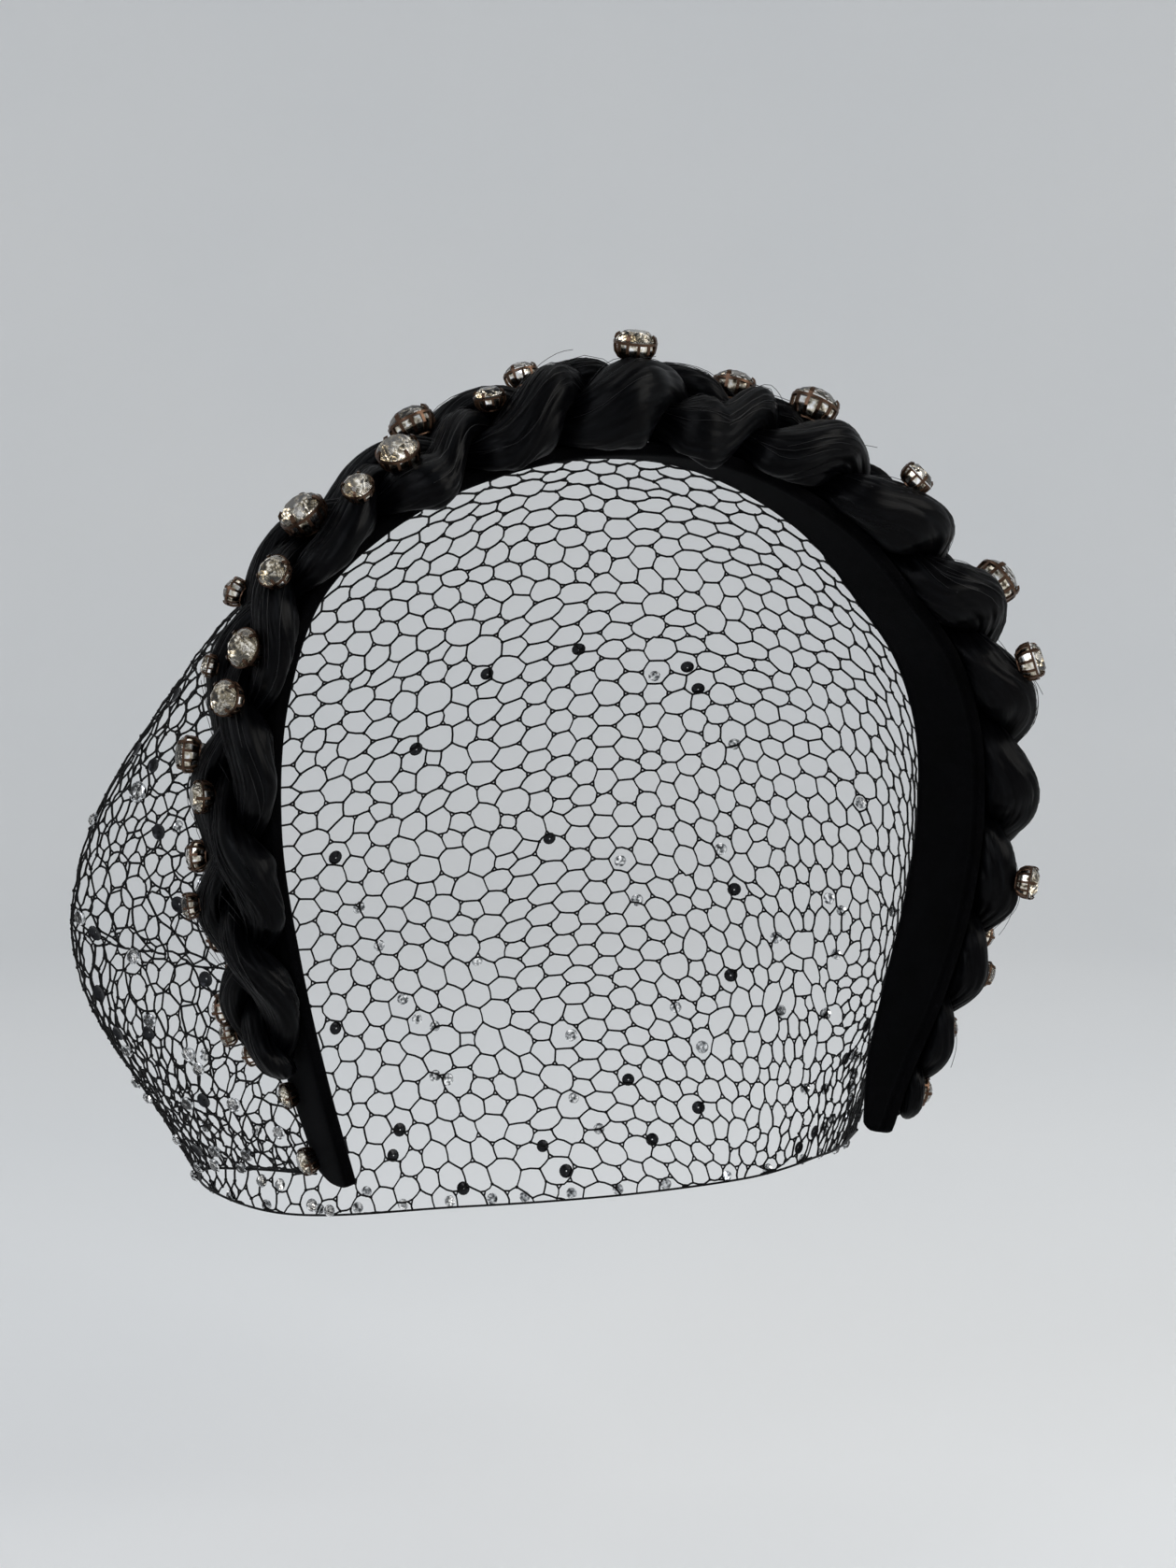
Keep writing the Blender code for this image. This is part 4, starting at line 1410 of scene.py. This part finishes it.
def net_faces():
    """A search tree over the net's surface."""
    wide, deep = NET_FACES
    shares = (np.linspace(0.0, 1.0, count + 1) for count in NET_FACES)
    grids = np.meshgrid(*shares, indexing="ij")
    points = net_point(*(grid.ravel() for grid in grids))
    corners = [a * (deep + 1) + b for a in range(wide) for b in range(deep)]
    faces = [(k, k + 1, k + deep + 2, k + deep + 1) for k in corners]
    return BVHTree.FromPolygons([Vector(p) for p in points], faces)


def seats_by_pixel(rows, tree):
    """Where the camera's ray through each pixel meets the net's near side. A ray that just
    misses its outline is moved in towards the middle of the net."""
    eye, turn = camera_pose()
    seats = []
    for column, line, width in rows:
        for step in range(INWARD_STEPS):
            inward = step * INWARD_STEP
            px = column + (NET_MIDDLE[0] - column) * inward
            py = line + (NET_MIDDLE[1] - line) * inward
            ray = Vector((
                (px - 0.5 * PHOTO_WIDTH) / PHOTO_HEIGHT * SENSOR,
                (0.5 * PHOTO_HEIGHT - py) / PHOTO_HEIGHT * SENSOR,
                -LENS,
            )).normalized()
            hit, normal, _, _ = tree.ray_cast(eye, turn @ ray)
            if hit is not None:
                if normal.dot(turn @ ray) > 0:
                    normal = -normal
                seats.append((hit, normal, width))
                break
    return seats


def extra_seats(count, widths, random, cloth):
    """Places on the part of the net that the photo doesn't show."""
    seats = []
    for _ in range(count):
        x = np.array([random.uniform(*UNSEEN_ACROSS) * cloth.x[-1]])
        y = cloth.depth_at(x) * random.uniform(*UNSEEN_DOWN) ** UNSEEN_CROWDING
        spot, share, down = cloth.place(x, y)
        normal = net_normal(share, down)[0]
        seats.append((Vector(spot[0]), Vector(normal), random.uniform(*widths)))
    return seats


def hem_seats(random):
    shares = np.linspace(*HEM_STONE_ACROSS, HEM_STEPS)
    run = run_along(net_point(shares, np.ones(HEM_STEPS)))
    places = np.arange(HEM_STONE_START * MM, run[-1], HEM_STONE_SPACING * MM)
    places = places + random.uniform(-HEM_STONE_UNEVEN, HEM_STONE_UNEVEN, len(places)) * MM
    share = np.interp(places, run, shares)
    down = np.full(len(share), HEM_STONE_DOWN)
    spots = net_point(share, down)
    normals = net_normal(share, down)
    return [(Vector(s), Vector(n), HEM_STONE_WIDTH) for s, n in zip(spots, normals)]


def raised(seats, rise, random):
    """Spots, turns and sizes for pieces that stand a little above the threads."""
    spots = [tuple(spot + normal * rise * MM) for spot, normal, _ in seats]
    turns = [turn_to(normal, random) for _, normal, _ in seats]
    return spots, turns, [0.5 * width * MM for _, _, width in seats]


# Loose hairs

def hair_paths(shapes, random):
    """Single hairs that lie along the strands and lift off them a little. A few stand clear."""
    points = []
    edges = []
    for shape in shapes:
        along, own, ray, reach = shape
        sides = ray.shape[1]
        for _ in range(LOOSE_HAIRS):
            stray = random.random() < STRAY_SHARE
            length = random.uniform(*(STRAY_LENGTHS if stray else LYING_LENGTHS))
            start = random.uniform(
                PLAIT_START + HAIR_END_ROOM[0], PLAIT_END - HAIR_END_ROOM[1] - length
            )
            turned = random.uniform(0.02, 0.98) * 0.5 * sides
            drift = random.uniform(-HAIR_DRIFT, HAIR_DRIFT) * sides
            lift = random.uniform(*(STRAY_LIFTS if stray else LYING_LIFTS))
            t = np.linspace(0.0, 1.0, LOOSE_HAIR_POINTS)
            rise = lift * t**2 if stray else lift * np.sin(math.pi * t) + LYING_HEIGHT
            wave = np.sin(TURN * (t * random.uniform(0.5, 1.4) + random.random()))
            wave = HAIR_WAVE * sides * wave
            place = start + length * t
            row = np.clip(np.searchsorted(along, place), 1, len(along) - 1)
            part = (place - along[row - 1]) / (along[row] - along[row - 1])
            column = turned + drift * t + wave
            near = np.floor(column).astype(int) % sides
            far = (near + 1) % sides
            share = column - np.floor(column)
            before = reach[row - 1, near] * (1 - share) + reach[row - 1, far] * share
            after = reach[row, near] * (1 - share) + reach[row, far] * share
            reached = before * (1 - part) + after * part + rise
            angle = column * TURN / sides
            centre = own[row - 1, 0] * (1 - part)[:, None] + own[row, 0] * part[:, None]
            spot = centre + np.stack([np.cos(angle), np.sin(angle)], -1) * reached[:, None]
            line = ARCH.place(place, spot[:, :1], spot[:, 1:])[:, 0]
            base = len(points)
            points += list(line)
            edges += [(base + k, base + k + 1) for k in range(LOOSE_HAIR_POINTS - 1)]
    return np.array(points), edges


# Stage

def make_stage(finish):
    """Floor that runs up into a wall all round, like a shallow bowl."""
    profile = [(0.6, 0.0), (BOWL_REACH, 0.0)]
    for k in range(1, BOWL_BEND_STEPS + 1):
        bend = 0.5 * math.pi * k / BOWL_BEND_STEPS
        profile.append((BOWL_REACH + BOWL_BEND * math.sin(bend), BOWL_BEND * (1.0 - math.cos(bend))))
    profile.append((BOWL_REACH + BOWL_BEND, WALL_HEIGHT))
    shape = bmesh.new()
    rings = [ring_of(shape, BOWL_SIDES, reach, FLOOR_HEIGHT + height) for reach, height in profile]
    centre = shape.verts.new((0.0, 0.0, FLOOR_HEIGHT))
    for k in range(BOWL_SIDES):
        n = (k + 1) % BOWL_SIDES
        shape.faces.new((centre, rings[0][k], rings[0][n]))
        for a, b in zip(rings, rings[1:]):
            shape.faces.new((a[k], b[k], b[n], a[n]))
    mesh = bpy.data.meshes.new("studio_bowl")
    shape.to_mesh(mesh)
    shape.free()
    mesh.shade_smooth()
    mesh.materials.append(finish)
    bowl = new_object("studio_bowl", mesh)


def make_light(name, place, size, power, tint):
    light = bpy.data.lights.new(name, "AREA")
    light.shape = "RECTANGLE"
    light.size, light.size_y = size
    light.energy = power
    light.color = colour(tint)[:3]
    made = bpy.data.objects.new(name, light)
    made.location = place
    aim = Vector(CAMERA_TARGET) - Vector(place)
    made.rotation_mode = "QUATERNION"
    made.rotation_quaternion = aim.to_track_quat("-Z", "Y")
    made.visible_camera = False
    bpy.context.scene.collection.objects.link(made)


def make_camera():
    camera = bpy.data.cameras.new("photo_camera")
    camera.sensor_fit = "AUTO"
    camera.sensor_width = SENSOR
    camera.lens = LENS
    camera.clip_start = 0.01
    camera.clip_end = 20.0
    made = bpy.data.objects.new("photo_camera", camera)
    place, turn = camera_pose()
    made.location = place
    made.rotation_mode = "QUATERNION"
    made.rotation_quaternion = turn
    bpy.context.scene.collection.objects.link(made)
    bpy.context.scene.camera = made


def make_world():
    bpy.context.scene.view_settings.view_transform = "Standard"
    world = bpy.data.worlds.new("studio_air")
    world.use_nodes = True
    sky = world.node_tree.nodes["Background"]
    sky.inputs["Color"].default_value = colour(SKY[0])
    sky.inputs["Strength"].default_value = SKY[1]
    bpy.context.scene.world = world


def build():
    random = np.random.default_rng(SEED)
    velvet = velvet_finish()
    hair = hair_finish()
    loose = loose_hair_finish()
    brass = brass_finish()
    crystal = crystal_finish()
    # The foils' shades run from near black to white: painted dark and bright reflections for the
    # facets in front of them.
    foil = foil_finish("champagne_foil_backing", ("#2B241B", "#9A8F78", "#FFFBF2"), 1.0)
    silver = foil_finish("silver_foil_backing", ("#3A3B3D", "#A4A6A8", "#FFFFFF"), 0.8)
    lining = foil_finish("bright_brass_cup_wall", ("#4A4238", "#CFC6B4", "#FFFFFF"), 1.3)
    thread = thread_finish()
    sequin = sequin_finish()

    band = make_velvet(velvet)
    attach(band, "root")
    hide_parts("base_band")

    shapes = [strand_shape(strand, random) for strand in range(3)]
    carriers = [band]
    for number, shape in enumerate(shapes, 1):
        strand = make_strand(number, shape, hair)
        carriers.append(strand)
        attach(strand, "root")
        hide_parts(f"braid_strand_{number}")

    threads = thread_tree()
    settings = setting_tree()
    path = hair_paths(shapes, random)
    gauge = (LOOSE_HAIR_THICKNESS, LOOSE_HAIR_SIDES)
    hairs = threads_along("loose_hairs", threads, path, gauge, loose)
    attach(hairs, "root")

    crystal_nodes = sorted(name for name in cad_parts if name.startswith("crystal_"))
    seats = crystal_frames(crystal_nodes, surface_of(carriers))
    cup = cup_pattern()
    stone = stone_pattern()
    cups = copies_at("claw_cups", settings, seats, cup, brass, lining)
    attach(cups, "root")
    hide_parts(*crystal_nodes)
    stones = copies_at("cut_stones", settings, seats, stone, crystal, foil)
    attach(stones, "root")

    cloth = NetCloth()
    points, edges, knot_spots = net_threads(cloth, random)
    net = threads_along("veil_threads", threads, (points, edges), THREAD_GAUGE, thread)
    knot = knot_pattern()
    count = len(knot_spots)
    sizes = random.uniform(*KNOT_UNEVEN, count) * KNOT_RADIUS * MM
    seats = (knot_spots, [Quaternion()] * count, sizes)
    knots = copies_at("veil_knots", settings, seats, knot, thread, thread)
    hem = threads_along("veil_hem", threads, net_edge(1.0), HEM_GAUGE, thread)
    gather = threads_along("veil_gather", threads, net_edge(0.0), GATHER_GAUGE, thread)

    tree = net_faces()
    small = small_stone_pattern()
    film = sequin_pattern()
    stone_seats = seats_by_pixel(NET_STONE_ROWS, tree)
    stone_seats += hem_seats(random)
    stone_seats += extra_seats(EXTRA_NET_STONES, EXTRA_STONE_WIDTHS, random, cloth)
    sequin_seats = seats_by_pixel(SEQUIN_ROWS, tree)
    sequin_seats += extra_seats(EXTRA_SEQUINS, EXTRA_SEQUIN_WIDTHS, random, cloth)
    seats = raised(stone_seats, NET_STONE_RISE, random)
    net_stones = copies_at("veil_stones", settings, seats, small, crystal, silver)
    seats = raised(sequin_seats, SEQUIN_RISE, random)
    sequins = copies_at("veil_sequins", settings, seats, film, sequin, sequin)
    for piece in (net, knots, hem, gather, net_stones, sequins):
        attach(piece, "root")
    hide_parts("veil_net")

    for pattern in (cup, stone, small, film, knot):
        bpy.data.objects.remove(pattern, do_unlink=True)


build()
make_stage(wall_finish())
for light_row in LIGHT_ROWS:
    make_light(*light_row)
make_world()
make_camera()
